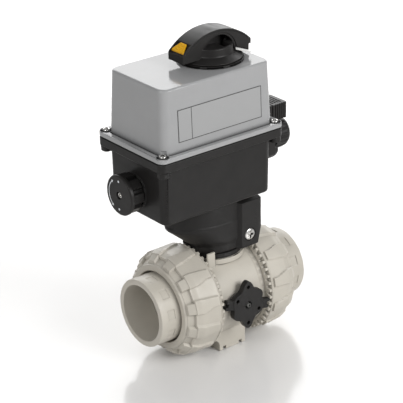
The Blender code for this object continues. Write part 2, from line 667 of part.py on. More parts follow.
def limit_switches():
    for name, z in (("limit_switch_closed", 271.5), ("limit_switch_open", 282.6)):
        made = solid(name, "black_plastic", box((22.3, 31.6), (-10, 10), (z, z + 9)))
        join(made, box((18.3, 22.8), (-2, 2), (z + 3, z + 6)))


def switch_bracket():
    """Angle that stands on the housing floor and holds the limit switches."""
    floor = HOUSING_Z[0] + WALL + GAP
    made = solid("switch_bracket", "steel", box((31.9, 33.9), (-13, 13), (floor, 296)))
    join(made, box((32.2, 35.0), (-13, 13), (floor, floor + 2)))


def electronics():
    """Circuit board on the gear plate, with its terminal block."""
    floor = PLATE_Z[1] + GAP
    solid("circuit_board", "circuit_green", box((-90, -22), (35.0, 36.6), (floor, 312)))
    terminals = solid("terminal_block", "terminal_grey", box((-84, -30), (24, 34.7), (288, 302)))
    cut(terminals, *[cylinder("Z", (-80 + 6.5 * i, 29), 1.8, 296, 304, 8) for i in range(8)])


def shaft_seal():
    solid("shaft_seal", "black_rubber", torus("Z", (0, 0), 316.8, 9.9, 1.2))


# Handle, indicator and selector

def arc_height(x, inset):
    """Height of the fin's arched top at x, moved in by the inset."""
    return HANDLE_Z[1] - HANDLE_ARC_R + math.sqrt((HANDLE_ARC_R - inset) ** 2 - x ** 2)


def handle(drive):
    """Arched fin over a hub, with a blind arch in each side and a window seat in its end, on a skirt."""
    lean = math.degrees(math.asin(HANDLE_HALF / HANDLE_ARC_R))
    crest = arc_points(0, HANDLE_Z[1] - HANDLE_ARC_R, HANDLE_ARC_R, 90 - lean, 90 + lean, 14)
    foot, half = HANDLE_Z[0], HANDLE_W / 2
    heel_in, heel_out = HANDLE_HEEL_X
    outline = [(-HANDLE_HALF, foot), (heel_in, foot), (heel_in, HANDLE_HEEL_Z), (heel_out, HANDLE_HEEL_Z),
               (heel_out, foot + 3.2), (HANDLE_HALF, foot + 3.2), *crest]
    made = solid("handle", "black_plastic", prism(outline, -half, half, "Y"), drive)
    cut(made, *[cylinder("Y", (ARCH_X, ARCH_Z), ARCH_R, sign * (half - ARCH_DEPTH), sign * (half + 1), 20)
                for sign in (-1, 1)])
    skirt = [(0, 329.2), (SKIRT_R, 329.2), (SKIRT_R, 330.4), (HUB_R + 1.0, 334.4), (HUB_R, 336.0),
             (HUB_R, HUB_TOP_Z - 1.0), (HUB_R - 1.0, HUB_TOP_Z), (0, HUB_TOP_Z)]
    join(made, revolve(skirt))
    window_end = -35.5
    recess = [(x, arc_height(x, 1.8)) for x in (-44.5, -40.5, window_end)]
    recess += [(window_end, 358.0), (-50.0, 358.0), (-50.0, recess[0][1])]
    cut(made, prism(recess, -10.6, 10.6, "Y"), cylinder("Z", (0, 0), SHAFT_R + 0.2, 325, 338.3))


def handle_window(drive):
    """Amber insert in the sloping end of the handle."""
    levels = []
    for x, half in ((-43.4, 10.0), (-40.0, 7.9), (-36.0, 5.4)):
        low, high = arc_height(x, 1.5), arc_height(x, -0.2)
        levels.append([(x, -half, low), (x, half, low), (x, half, high), (x, -half, high)])
    solid("handle_window", "amber_plastic", loft(levels), drive)


def pointer(drive):
    """White index on the skirt of the hub."""
    made = prism([(26.5, 334.9), (42.5, 330.7), (42.5, 332.6), (26.5, 336.8)], -1.6, 1.6, "Y")
    made.transform(Matrix.Rotation(math.radians(-35), 4, "Z"))
    solid("pointer", "white_plastic", made, drive)


def indicator_ring():
    """Slotted ring fixed to the top of the cover under the handle."""
    low = COVER_Z[1] + GAP
    ring = revolve(ring_profile(20.0, RING_R, low, 328.9), steps=30)
    made = solid("indicator_ring", "black_plastic", ring)
    slots = []
    for number in range(9):
        slot = box((RING_R - 4.0, RING_R + 1.5), (-6.0, 6.0), (low + 0.7, low + 1.9))
        slot.transform(Matrix.Rotation(math.radians(40 * number), 4, "Z"))
        slots.append(slot)
    cut(made, *slots)


def mode_knob(selector):
    """Face disc in front of a barrel with eight grip lugs."""
    face, back = KNOB_X
    axis = (KNOB_Y, KNOB_Z)
    profile = [(0, face), (KNOB_R - 1.5, face), (KNOB_R, face + 1.5), (KNOB_R, face + 4.2),
               (17.0, face + 4.8), (17.0, back), (0, back)]
    made = solid("mode_knob", "black_plastic", revolve(profile, "X", axis, 24), selector)
    centre = Matrix.Translation((0, *axis))
    lugs = []
    for number in range(8):
        lug = box((face + 4, back - 2.0), (-5.0, 5.0), (14.0, 20.6))
        lug.transform(centre @ Matrix.Rotation(math.radians(45 * number), 4, "X"))
        lugs.append(lug)
    join(made, *lugs)
    cut(made,
        cylinder("X", axis, 4.2, face - 1, face + 2.6, 12),
        cylinder("X", axis, 2.2, face, -111.0, 10),
        cylinder("X", axis, 4.8, -112.0, back + 1, 12))


def mode_knob_screw(selector):
    head = KNOB_X[0] + 2.5
    profile = [(0, head - 1.4), (2.6, head - 1.4), (3.4, head - 0.8), (3.4, head), (1.9, head), (1.9, -113.0),
               (0, -113.0)]
    solid("mode_knob_screw", "steel", revolve(profile, "X", (KNOB_Y, KNOB_Z), 10), selector)


def mode_shaft(selector):
    """Shaft through the wall, with a small release lever on its inner end."""
    rod = cylinder("X", (KNOB_Y, KNOB_Z), 4.5, -111.7, -84.0, 12)
    made = solid("mode_shaft", "steel", rod, selector)
    join(made, box((-87.5, -84.5), (KNOB_Y - 3, KNOB_Y + 3), (KNOB_Z - 16, KNOB_Z)))


# Electrical connectors

def connector_console():
    """Stepped block on the +X wall, with an upright leg outside the flange for the plug."""
    front, back = CONSOLE_Y
    low, step, top = CONSOLE_Z
    made = solid("connector_console", "black_plastic",
                 prism(round_rect((front, back), (step, top), 3), *CONSOLE_X, "X"))
    join(made,
         prism(round_rect((-14.0, back), (low, step + 15), 3), *CONSOLE_X, "X"),
         box((54.6, CONSOLE_X[1]), (PLUG_Y[0] - 1, PLUG_Y[1] + 1), (top - 2, PLUG_Z[1] + 0.5)))
    cut(made, *[cylinder("X", spot, 6.0, CONSOLE_X[0] - 1, CONSOLE_X[1] + 1, 14)
                for spot in ((GLAND_Y, GLAND_Z), (SMALL_Y, SMALL_Z))],
        cylinder("X", PLUG_AXIS, 1.9, 50.0, CONSOLE_X[1] + 1, 12))


def gland(name, y, z, radius, end, ribs):
    """Cable gland: a body with a flange on the console and a ribbed nut over its thread."""
    base = CONSOLE_X[1] + GAP
    hole = radius * 0.42
    thread = radius * 0.7
    flange = radius * 0.86
    middle = base + 5.0
    end_of_thread = middle + 9
    body = [(hole, base), (flange, base), (flange, middle), (thread, middle), (thread, end_of_thread),
            (hole, end_of_thread)]
    solid(f"{name}_body", "black_plastic", revolve(body, "X", (y, z), 16))
    start = middle + GAP
    sections = []
    for x, scale in ((start, 0.97), (start + 1.5, 1.0), (end - 6, 1.0), (end - 2, 0.86), (end, 0.66)):
        ring = []
        for i in range(2 * ribs):
            r = radius * scale * (1.0 if i % 2 else 0.955)
            ring.append((x, y + r * math.cos(math.pi * i / ribs), z + r * math.sin(math.pi * i / ribs)))
        sections.append(ring)
    nut = solid(f"{name}_nut", "black_plastic", loft(sections))
    cut(nut,
        cylinder("X", (y, z), thread + GAP, start - 1, end_of_thread + 1),
        cylinder("X", (y, z), hole, start, end + 1))


def din_plug():
    """Rectangular plug with grooved sides."""
    low, high = PLUG_X
    edge = PLUG_Y[0]
    notches = 4
    pitch = (high - low - 5) / notches
    side = [(low, edge)]
    for number in range(notches):
        start = low + 3.7 + pitch * number
        side += [(start, edge), (start + 0.4, edge + 1), (start + 1.4, edge + 1), (start + 1.8, edge)]
    side += [(high - 1.5, edge), (high, edge + 1.5)]
    outline = side + [(x, 2 * PLUG_AXIS[0] - y) for x, y in side[::-1]]
    plug = solid("din_plug", "black_plastic", prism(outline, *PLUG_Z), None, 20.0)
    cut(plug,
        cylinder("X", PLUG_AXIS, 2.0, low - 1, high + 1, 12),
        cylinder("X", PLUG_AXIS, 4.0, high - 1.5, high + 1, 12))


def plug_gasket():
    """Flat seal between the plug and its leg."""
    seal = solid("plug_gasket", "black_rubber",
                 box((58.8, 59.8), (PLUG_Y[0] + 1, PLUG_Y[1] - 1), (PLUG_Z[0] + 1, PLUG_Z[1] - 1)))
    cut(seal, cylinder("X", PLUG_AXIS, 2.0, 58, 61))


def plug_screw():
    seat = PLUG_X[1] - 1.4
    profile = [(0, 55.0), (1.5, 55.0), (1.5, seat), (3.4, seat), (3.4, seat + 1.8), (2.6, seat + 2.6),
               (0, seat + 2.6)]
    solid("plug_screw", "steel", revolve(profile, "X", PLUG_AXIS, 10))


def build_valve():
    rotor = pivot("valve_rotor_axis", 0, 0, PIPE_Z)
    valve_body()
    foot_inserts()
    ball(rotor)
    stem(rotor)
    ball_seats_and_carriers()
    for side, sign in (("near", -1), ("far", 1)):
        end_connector(side, sign)
        union_nut(side, sign, pivot(f"union_nut_{side}_axis", sign * NUT_IN_X, 0, PIPE_Z))
    nut_lock(pivot("nut_lock_axis", 0, LOCK_Y[1], PIPE_Z))
    nut_lock_pin()
    mounting_plate()


def build_actuator():
    drive = pivot("drive_axis", 0, 0, DRIVE_GEAR_Z[0])
    selector = pivot("selector_axis", KNOB_X[0], KNOB_Y, KNOB_Z)
    lower_housing()
    housing_gasket()
    cover()
    cover_screws()
    neck_screws()
    label_plate()
    output_shaft(drive)
    output_gear(drive)
    position_cams(drive)
    handle(drive)
    handle_window(drive)
    pointer(drive)
    idler_gear(pivot("idler_axis", IDLER_X, 0, IDLER_PINION_Z[0]))
    motor_pinion(pivot("motor_axis", MOTOR_X, 0, IDLER_WHEEL_Z[0]))
    gear_plate()
    motor()
    capacitor()
    limit_switches()
    switch_bracket()
    electronics()
    shaft_seal()
    indicator_ring()
    mode_knob(selector)
    mode_knob_screw(selector)
    mode_shaft(selector)
    connector_console()
    gland("power_gland", GLAND_Y, GLAND_Z, GLAND_R, 86.0, 14)
    gland("signal_gland", SMALL_Y, SMALL_Z, SMALL_R, 85.0, 9)
    din_plug()
    plug_gasket()
    plug_screw()


clear_scene()
build_valve()
build_actuator()
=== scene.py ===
"""Looks of the motorized ball valve: fine meshes, materials, floor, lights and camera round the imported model.

Meshes are built in millimetres in the model's frame: +X along the pipe, +Z up, the label on the -Y side.
show() scales them to metres and lets them ride on the body of the CAD node that they stand for.
"""
import json
import math

import bmesh
import bpy
import numpy as np
from mathutils import Matrix, Vector

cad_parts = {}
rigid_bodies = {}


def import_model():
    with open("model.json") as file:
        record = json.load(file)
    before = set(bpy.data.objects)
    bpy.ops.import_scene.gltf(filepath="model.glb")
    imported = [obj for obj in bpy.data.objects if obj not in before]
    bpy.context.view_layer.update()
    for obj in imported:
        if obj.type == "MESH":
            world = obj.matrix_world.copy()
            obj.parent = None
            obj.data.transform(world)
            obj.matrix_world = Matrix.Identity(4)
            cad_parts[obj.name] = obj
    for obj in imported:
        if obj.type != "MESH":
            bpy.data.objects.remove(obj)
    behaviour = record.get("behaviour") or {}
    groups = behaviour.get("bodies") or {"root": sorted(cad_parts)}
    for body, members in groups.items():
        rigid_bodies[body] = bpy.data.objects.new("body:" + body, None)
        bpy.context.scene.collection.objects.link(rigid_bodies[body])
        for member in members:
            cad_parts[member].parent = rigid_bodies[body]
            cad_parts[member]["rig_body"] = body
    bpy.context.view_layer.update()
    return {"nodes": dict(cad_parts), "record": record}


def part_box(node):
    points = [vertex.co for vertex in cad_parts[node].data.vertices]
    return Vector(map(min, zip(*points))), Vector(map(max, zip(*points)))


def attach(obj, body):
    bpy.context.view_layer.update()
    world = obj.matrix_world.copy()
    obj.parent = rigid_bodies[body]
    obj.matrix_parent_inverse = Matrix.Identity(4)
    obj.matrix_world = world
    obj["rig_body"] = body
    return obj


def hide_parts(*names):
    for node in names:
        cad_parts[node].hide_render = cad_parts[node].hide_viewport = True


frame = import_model()
MM = 0.001
GAP = 0.3


def span(node):
    """The node's lowest and highest x, y and z, in millimetres."""
    low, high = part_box(node)
    return [(low[i] / MM, high[i] / MM) for i in range(3)]


def middle(limits):
    return sum(limits) / 2


# Valve, from the frame
NUT = span("union_nut_far")
BODY = span("valve_body")
END = span("end_connector_far")
LOCK = span("nut_lock")
PIPE_Z = middle(NUT[2])
NUT_IN, NUT_OUT = NUT[0]
HALF_LENGTH = END[0][1]
END_START = END[0][0]
COLLAR_R = (END[2][1] - END[2][0]) / 2
BODY_HALF, BODY_R = BODY[0][1], BODY[1][1]

# Valve, local detail
CAVITY_R, BORE_R = 40.0, 25.0
SOCKET_R, SOCKET_DEPTH, CONNECTOR_R = 31.3, 38.0, 38.0
WRENCH_FLATS, FLATS_START, FLATS_END = 10, 81.5, 91.0
PAD_R, PAD_TOP = 33.0, 109.7
STEM_CHAMBER_R, STEM_HOLE_R = 13.3, 9.3
FOOT_X, FOOT_Y, FOOT_FILLET = 18.0, 32.0, 9.0
GROOVE_X, INSERT_Y, INSERT_R, INSERT_DEPTH = 11, 18, 4.3, 12.3
NUT_BORE_R, NUT_OPENING_R = 50.6, 40.2
NUT_RIBS, NUT_TEETH, STEPS_PER_TOOTH = 12, 45, 12
TOOTH_ROOT_R, TOOTH_H, TOOTH_L = 53.4, 5.0, 3.0
PANEL_START, PANEL_R, RIB_H = 36.0, 58.7, 2.1
SHOULDER_START, SHOULDER_R, BLOCK_R = 66.6, 51.6, 56.4
LOCK_R, LOCK_TILT, PIN_R = 20.8, 15.0, 3.0
LOCK_ARM_REACH, LOCK_NOTCH_START = 30.6, 27.8

# Actuator, from the frame
HOUSING = span("lower_housing")
COVER = span("cover")
LABEL = span("label_plate")
HANDLE = span("handle")
RING = span("indicator_ring")
KNOB = span("mode_knob")
CONSOLE = span("connector_console")
PLUG = span("din_plug")
FLANGE_X, FLANGE_Y = COVER[0], COVER[1][1]
SPLIT_Z, NECK_BOTTOM = HOUSING[2][1], HOUSING[2][0]
COVER_LOW, COVER_TOP = COVER[2]
KNOB_Y, KNOB_Z, KNOB_R = middle(KNOB[1]), middle(KNOB[2]), (KNOB[2][1] - KNOB[2][0]) / 2

# Actuator, local detail
HOUSING_X, HOUSING_Y, HOUSING_BOTTOM = (-100.1, 44.3), 48.0, 179.0
HOUSING_DRAFT, COVER_DRAFT = math.radians(1.0), math.radians(2.15)
COVER_TOP_X, COVER_TOP_Y = (-97.0, 43.8), 45.5
FLANGE_R, LIP_T, COVER_PLATE_T = 8.0, 9.5, 5.2
CORNER_R, WALL = 10.0, 3.2
CHANNEL_W, CHANNEL_DEPTH = 2.4, 2.7
SCREW_INSET, SCREW_SUNK, SCREW_HOLE_R = 7.5, 1.0, 2.4
SEAT_R, SEAT_BOSS_R, SEAT_DEPTH = 6.4, 7.2, 2.6
NECK_X, NECK_R, NECK_FLARE_Z, NECK_SLOPE = 60.5, 34.0, 124.5, 1.22
COLUMN_X, COLUMN_Y = (11.0, 40.0), 35.0
NECK_SCREW, NECK_SEAT_R = (23.8, 129.7), 7.2
STEM_BORE_R, SHAFT_BORE_R, STEM_BORE_TOP, NUT_ROOM_R = 14.3, 10.3, 150.3, 62.8
IDLER_X, SHAFT_R = -40.0, 8.0
KNOB_BOSS_R, GLAND_HOLE_R = 19.0, 6.0
STEPS_PER_RIB, FLANGE_TO_NUT = 12, 0.86
LABEL_LINE, LABEL_DIVIDE = 0.75, 0.16
HANDLE_W, HANDLE_ARC_R, HUB_R, HUB_TOP_Z, SKIRT_R = 24.5, 62.4, 24.0, 343.5, 34.0
HANDLE_FOOT, HANDLE_TOE, HANDLE_HEEL = 3.6, 2.8, 8.6
ARCH_X, ARCH_R, ARCH_Z, ARCH_DEPTH = 3.0, 20.5, 333.0, 8.0
WINDOW_X, WINDOW_HALF, WINDOW_TAPER = (-42.2, -33.8), 10.0, 0.62
KNOB_FACE_T, KNOB_BARREL_R, KNOB_LUGS = 4.2, 17.0, 8
RING_SLOTS = 9
PLUG_AT = (middle(PLUG[1]), middle(PLUG[2]))

SLOT_OF = {part["node"]: part["material_slot"] for part in frame["record"]["subparts"]}


# Mesh tools

def loft(sections, closed=False):
    """A closed solid through rings of equally many points. closed joins the last ring to the first."""
    mesh = bmesh.new()
    rings = [[mesh.verts.new(point) for point in section] for section in sections]
    pairs = list(zip(rings, rings[1:]))
    if closed:
        pairs.append((rings[-1], rings[0]))
    for low, high in pairs:
        for i in range(len(low)):
            j = (i + 1) % len(low)
            mesh.faces.new((low[i], low[j], high[j], high[i]))
    if not closed:
        mesh.faces.new(rings[0][::-1])
        mesh.faces.new(rings[-1])
    return mesh


def placed(axis, u, v, w):
    """The point at w along an axis whose other two coordinates are u and v."""
    return {"Z": (u, v, w), "X": (w, u, v), "Y": (u, w, v)}[axis]


def prism(outline, low, high, axis="Z"):
    """Extrudes a 2D outline along an axis. The outline's (u, v) is (x, y), (y, z) or (x, z)."""
    return loft([[placed(axis, u, v, w) for u, v in outline] for w in (low, high)])


def box(x, y, z):
    """A block between two x, two y and two z, each pair in either order."""
    (left, right), (front, back) = sorted(x), sorted(y)
    return prism([(left, front), (right, front), (right, back), (left, back)], *sorted(z))


def arc(u, v, radius, start, end, steps):
    """Points on an arc, with angles in degrees."""
    angles = [math.radians(start + (end - start) * i / steps) for i in range(steps + 1)]
    return [(u + radius * math.cos(a), v + radius * math.sin(a)) for a in angles]


def circle(u, v, radius, steps=48):
    return arc(u, v, radius, 0, 360, steps)[:-1]


def round_rect(x, y, radius, steps=10):
    """A rectangle outline with round corners, anticlockwise."""
    points = []
    for quarter, (u, v) in enumerate(((x[1] - radius, y[1] - radius), (x[0] + radius, y[1] - radius),
                                      (x[0] + radius, y[0] + radius), (x[1] - radius, y[0] + radius))):
        points += arc(u, v, radius, 90 * quarter, 90 * quarter + 90, steps)
    return points


def cylinder(axis, centre, radius, low, high, steps=48):
    return prism(circle(*centre, radius, steps), *sorted((low, high)), axis)


def revolve(profile, axis="Z", centre=(0.0, 0.0), steps=96):
    """Turns a closed profile of (radius, height) about an axis through the centre."""
    turn = 2 * math.pi / steps
    sections = []
    for i in range(steps):
        cos, sin = math.cos(turn * i), math.sin(turn * i)
        sections.append([placed(axis, centre[0] + r * cos, centre[1] + r * sin, w) for r, w in profile])
    mesh = loft(sections, closed=True)
    bmesh.ops.remove_doubles(mesh, verts=mesh.verts, dist=1e-6)
    bmesh.ops.dissolve_degenerate(mesh, edges=mesh.edges, dist=1e-6)
    return mesh


def new_object(name, mesh):
    """A new object in the scene that holds the mesh, which is used up."""
    data = bpy.data.meshes.new(name)
    mesh.to_mesh(data)
    mesh.free()
    obj = bpy.data.objects.new(name, data)
    bpy.context.scene.collection.objects.link(obj)
    return obj


def drop(obj):
    data = obj.data
    bpy.data.objects.remove(obj)
    bpy.data.meshes.remove(data)


def merged(pieces):
    """All the pieces in one mesh, without joining them."""
    together = bmesh.new()
    for mesh in pieces:
        bmesh.ops.recalc_face_normals(mesh, faces=mesh.faces)
        step = bpy.data.meshes.new("step")
        mesh.to_mesh(step)
        mesh.free()
        together.from_mesh(step)
        bpy.data.meshes.remove(step)
    return together


def boolean(mesh, operation, pieces):
    """One exact Boolean of a mesh with all the pieces, which may overlap each other."""
    base, helper = new_object("step", merged([mesh])), new_object("step", merged(pieces))
    modifier = base.modifiers.new("step", "BOOLEAN")
    modifier.operation = operation
    modifier.solver = "EXACT"
    modifier.use_self = True
    modifier.object = helper
    result = bmesh.new()
    result.from_mesh(base.evaluated_get(bpy.context.evaluated_depsgraph_get()).to_mesh())
    drop(base)
    drop(helper)
    bmesh.ops.remove_doubles(result, verts=result.verts, dist=1e-4)
    return result


def cut(mesh, *pieces):
    return boolean(mesh, "DIFFERENCE", pieces)


def join(mesh, *pieces):
    return boolean(mesh, "UNION", pieces)


def turned(mesh, degrees, axis="Z", about=(0.0, 0.0, 0.0)):
    """The mesh itself, turned about an axis through a point."""
    place = Matrix.Translation(about)
    mesh.transform(place @ Matrix.Rotation(math.radians(degrees), 4, axis) @ place.inverted())
    return mesh


def show(mesh, *nodes, bevel=0.0, extra=(), sharp=32.0, look=None):
    """Makes the piece that stands for CAD nodes and rides on their body.

    It has their slot's material, or look, and extra holds the materials of its printed or inlaid faces.
    """
    bmesh.ops.recalc_face_normals(mesh, faces=mesh.faces)
    mesh.transform(Matrix.Scale(MM, 4))
    obj = new_object(nodes[0] + "_fine", mesh)
    obj.data.shade_smooth()
    if bevel:
        rounding = obj.modifiers.new("edges", "BEVEL")
        rounding.width = bevel * MM
        rounding.segments = 2
        rounding.limit_method = "ANGLE"
        rounding.angle_limit = math.radians(sharp)
        rounding.use_clamp_overlap = False
        normals = obj.modifiers.new("normals", "WEIGHTED_NORMAL")
        normals.weight = 80
    else:
        obj.data.set_sharp_from_angle(angle=math.radians(sharp))
    slot = SLOT_OF[nodes[0]]
    for material in (look or MATERIALS[slot], *extra):
        obj.data.materials.append(material)
    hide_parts(*nodes)
    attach(obj, frame["nodes"][nodes[0]]["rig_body"])
    return obj


# Materials

class Look:
    """A Principled material, with helpers that wire procedural detail into it."""

    def __init__(self, name, roughness, metallic=0.0, coat=0.0, shine=0.5):
        self.material = bpy.data.materials.new(name)
        self.material.use_nodes = True
        self.tree = self.material.node_tree
        self.shader = self.tree.nodes["Principled BSDF"]
        self.shader.inputs["Roughness"].default_value = roughness
        self.shader.inputs["Metallic"].default_value = metallic
        self.shader.inputs["Coat Weight"].default_value = coat
        self.shader.inputs["Coat Roughness"].default_value = 0.08
        self.shader.inputs["Specular IOR Level"].default_value = shine
        self.place = self.tree.nodes.new("ShaderNodeTexCoord").outputs["Object"]

    def add(self, kind, **values):
        node = self.tree.nodes.new(kind)
        for name, value in values.items():
            node.inputs[name.replace("_", " ")].default_value = value
        return node

    def link(self, output, target):
        self.tree.links.new(output, target)

    def noise(self, size_mm, detail=3.0, stretch=(1.0, 1.0, 1.0)):
        """Noise whose features are about size_mm across, longer along an axis whose stretch is over 1."""
        mapping = self.add("ShaderNodeMapping", Scale=[1 / s for s in stretch])
        self.link(self.place, mapping.inputs["Vector"])
        node = self.add("ShaderNodeTexNoise", Scale=1 / (size_mm * MM), Detail=detail)
        self.link(mapping.outputs["Vector"], node.inputs["Vector"])
        return node.outputs["Fac"]

    def ranged(self, value, low, high, start=0.3, end=0.7):
        node = self.add("ShaderNodeMapRange", From_Min=start, From_Max=end, To_Min=low, To_Max=high)
        self.link(value, node.inputs["Value"])
        return node.outputs["Result"]

    def blend(self, factor, first, second):
        """Mixes two colours, each a tuple or an output. Inputs 6 and 7 and output 2 are colours."""
        node = self.tree.nodes.new("ShaderNodeMix")
        node.data_type = "RGBA"
        self.link(factor, node.inputs["Factor"])
        for socket, colour in zip(node.inputs[6:8], (first, second)):
            if isinstance(colour, tuple):
                socket.default_value = (*colour, 1.0)
            else:
                self.link(colour, socket)
        return node.outputs[2]

    def rubbed(self, strength):
        """How much an outer edge is worn."""
        pointiness = self.tree.nodes.new("ShaderNodeNewGeometry").outputs["Pointiness"]
        return self.ranged(pointiness, 0.0, strength, 0.51, 0.60)

    def shade_and_dirt_in_creases(self, reach_mm, strength):
        """How dark a gap or crease is made, as painted shade and as dirt: most where it is narrower than
        reach_mm.
        """
        openness = self.add("ShaderNodeAmbientOcclusion", Distance=reach_mm * MM)
        openness.samples = 6
        openness.only_local = True
        return self.ranged(openness.outputs["AO"], strength, 0.0, 0.35, 0.9)

    def bump(self, height, depth_mm, strength=0.6, after=None):
        node = self.add("ShaderNodeBump", Strength=strength, Distance=depth_mm * MM)
        self.link(height, node.inputs["Height"])
        if after:
            self.link(after, node.inputs["Normal"])
        return node.outputs["Normal"]


def tinted(colour, factor):
    """A lighter or darker copy of a colour."""
    return tuple(min(1.0, channel * factor) for channel in colour)


def moulded(name, colour, roughness, grain_mm=0.35, grain_depth=0.02, tone=0.06, wear=0.25, shine=0.5,
            shade_and_dirt=0.4, shade_and_dirt_mm=2.0):
    """Moulded plastic: cloudy tone, fine grain, slight waviness, rubbed edges, and painted shade with dirt in
    its creases.
    """
    look = Look(name, roughness, shine=shine)
    cloud = look.noise(22.0, 4.0)
    fleck = look.noise(1.6, 2.0)
    base = look.blend(look.ranged(cloud, 0.0, 1.0), tinted(colour, 1 - tone), tinted(colour, 1 + tone))
    base = look.blend(look.ranged(fleck, 0.0, 0.35, 0.55, 0.75), base, tinted(colour, 1 - 2.2 * tone))
    base = look.blend(look.rubbed(wear), base, tinted(colour, 1.5))
    # Painted shade: ambient occlusion darkens gaps and creases towards a quarter of the colour. This stands for
    # the shade that falls there as well as for dirt.
    base = look.blend(look.shade_and_dirt_in_creases(shade_and_dirt_mm, shade_and_dirt), base, tinted(colour, 0.25))
    look.link(base, look.shader.inputs["Base Color"])
    scuffs = look.noise(9.0, 5.0, (1.0, 3.0, 1.0))
    look.link(look.ranged(scuffs, roughness * 0.82, roughness * 1.25), look.shader.inputs["Roughness"])
    waves = look.bump(look.noise(14.0, 1.0), 0.12, 0.25)
    look.link(look.bump(look.noise(grain_mm, 2.0), grain_depth, 0.6, waves), look.shader.inputs["Normal"])
    return look.material


def metal(name, colour, roughness, stretch=(1.0, 1.0, 1.0), stain=0.12):
    """Bright metal with fine drawn or turned lines and faint stains."""
    look = Look(name, roughness, metallic=1.0)
    stains = look.noise(3.0, 4.0)
    base = look.blend(look.ranged(stains, 0.0, 1.0, 0.4, 0.7), colour, tinted(colour, 1 - stain))
    base = look.blend(look.rubbed(0.5), base, tinted(colour, 1.25))
    look.link(base, look.shader.inputs["Base Color"])
    lines = look.noise(0.25, 2.0, stretch)
    look.link(look.ranged(lines, roughness * 0.75, roughness * 1.3), look.shader.inputs["Roughness"])
    look.link(look.bump(lines, 0.008, 0.5), look.shader.inputs["Normal"])
    return look.material


def rubber(name, colour):
    """Dull rubber with a dusty bloom."""
    look = Look(name, 0.75)
    bloom = look.noise(4.0, 5.0)
    base = look.blend(look.ranged(bloom, 0.0, 0.5, 0.45, 0.75), colour, tinted(colour, 3.0))
    look.link(base, look.shader.inputs["Base Color"])
    look.link(look.ranged(bloom, 0.65, 0.85), look.shader.inputs["Roughness"])
    look.link(look.bump(look.noise(0.5), 0.03), look.shader.inputs["Normal"])
    return look.material


def circuit_board(name, colour):
    """Lacquered board with faint copper tracks under the green."""
    look = Look(name, 0.35, coat=0.4)
    tracks = look.add("ShaderNodeTexVoronoi", Scale=260.0)
    tracks.feature = "DISTANCE_TO_EDGE"
    look.link(look.place, tracks.inputs["Vector"])
    edges = look.ranged(tracks.outputs["Distance"], 1.0, 0.0, 0.02, 0.08)
    base = look.blend(edges, colour, tinted(colour, 2.2))
    look.link(base, look.shader.inputs["Base Color"])
    look.link(look.bump(tracks.outputs["Distance"], 0.05, 0.3), look.shader.inputs["Normal"])
    look.link(look.ranged(look.noise(5.0), 0.28, 0.45), look.shader.inputs["Roughness"])
    return look.material


def amber(name):
    """Glossy tinted window with a prismatic back, and a faint emission that is a painted glow."""
    look = Look(name, 0.12, coat=0.15, shine=0.3)
    ribs = look.noise(1.1, 1.0, (0.35, 4.0, 1.0))
    base = look.blend(look.ranged(ribs, 0.0, 1.0), (0.52, 0.25, 0.002), (0.86, 0.46, 0.008))
    look.link(base, look.shader.inputs["Base Color"])
    # Painted glow: the window emits a little of its own colour, though it is no lamp.
    look.link(base, look.shader.inputs["Emission Color"])
    look.shader.inputs["Emission Strength"].default_value = 0.05
    look.link(look.bump(ribs, 0.06, 0.4), look.shader.inputs["Normal"])
    look.link(look.ranged(look.noise(6.0), 0.08, 0.2), look.shader.inputs["Roughness"])
    return look.material


def print_ink(name, colour):
    """Matt ink that is a little patchy."""
    look = Look(name, 0.5)
    patches = look.noise(0.8, 3.0)
    look.link(look.blend(look.ranged(patches, 0.0, 0.6), colour, tinted(colour, 1.4)),
              look.shader.inputs["Base Color"])
    look.link(look.ranged(patches, 0.4, 0.6), look.shader.inputs["Roughness"])
    return look.material


MATERIALS = {
    "beige_plastic": moulded("beige_plastic", (0.486, 0.456, 0.398), 0.42, grain_mm=0.6, grain_depth=0.014,
                             tone=0.035, shine=0.42, shade_and_dirt=0.75, shade_and_dirt_mm=2.4),
    "ptfe": moulded("ptfe", (0.82, 0.82, 0.80), 0.42, grain_mm=0.5, grain_depth=0.01, tone=0.03, wear=0.1),
    "black_rubber": rubber("black_rubber", (0.018, 0.018, 0.018)),
    "black_plastic": moulded("black_plastic", (0.0150, 0.0142, 0.0137), 0.38, grain_mm=0.45, tone=0.10,
                             wear=0.55, shine=0.22),
    "grey_plastic": moulded("grey_plastic", (0.315, 0.317, 0.320), 0.11, grain_mm=0.5, grain_depth=0.003,
                            tone=0.02, wear=0.15, shine=0.36, shade_and_dirt=1.0, shade_and_dirt_mm=5.0),
    "label_film": moulded("label_film", (0.315, 0.317, 0.318), 0.16, grain_mm=1.2, grain_depth=0.001,
                          tone=0.008, wear=0.0, shine=0.36),
    "amber_plastic": amber("amber_plastic"),
    "white_plastic": moulded("white_plastic", (0.78, 0.78, 0.76), 0.4, grain_mm=0.4, grain_depth=0.01,
                             tone=0.03, wear=0.1),
    "steel": metal("steel", (0.66, 0.65, 0.63), 0.24),
    "brass": metal("brass", (0.72, 0.52, 0.22), 0.3, stretch=(1.0, 1.0, 0.3)),
    "gear_plastic": moulded("gear_plastic", (0.72, 0.70, 0.62), 0.4, grain_mm=0.4, grain_depth=0.01,
                            tone=0.04, wear=0.2),
    "circuit_green": circuit_board("circuit_green", (0.015, 0.13, 0.05)),
    "terminal_grey": moulded("terminal_grey", (0.22, 0.30, 0.27), 0.45, grain_mm=0.4, wear=0.3),
}
PIN_GREY = moulded("pin_grey", (0.085, 0.085, 0.08), 0.35, grain_mm=0.5, grain_depth=0.01, tone=0.04,
                   wear=0.3)
INK_BLACK = print_ink("ink_black", (0.03, 0.03, 0.03))
INK_WHITE = print_ink("ink_white", (0.62, 0.64, 0.66))


def dress_cad_nodes():
    """Gives every CAD node its slot's material."""
    for name, node in frame["nodes"].items():
        node.data.materials.clear()
        node.data.materials.append(MATERIALS[SLOT_OF[name]])


# Valve

def smoothstep(values, start, end):
    """0 up to start, 1 from end on, and a soft step between."""
    t = np.clip((values - start) / (end - start), 0.0, 1.0)
    return t * t * (3 - 2 * t)


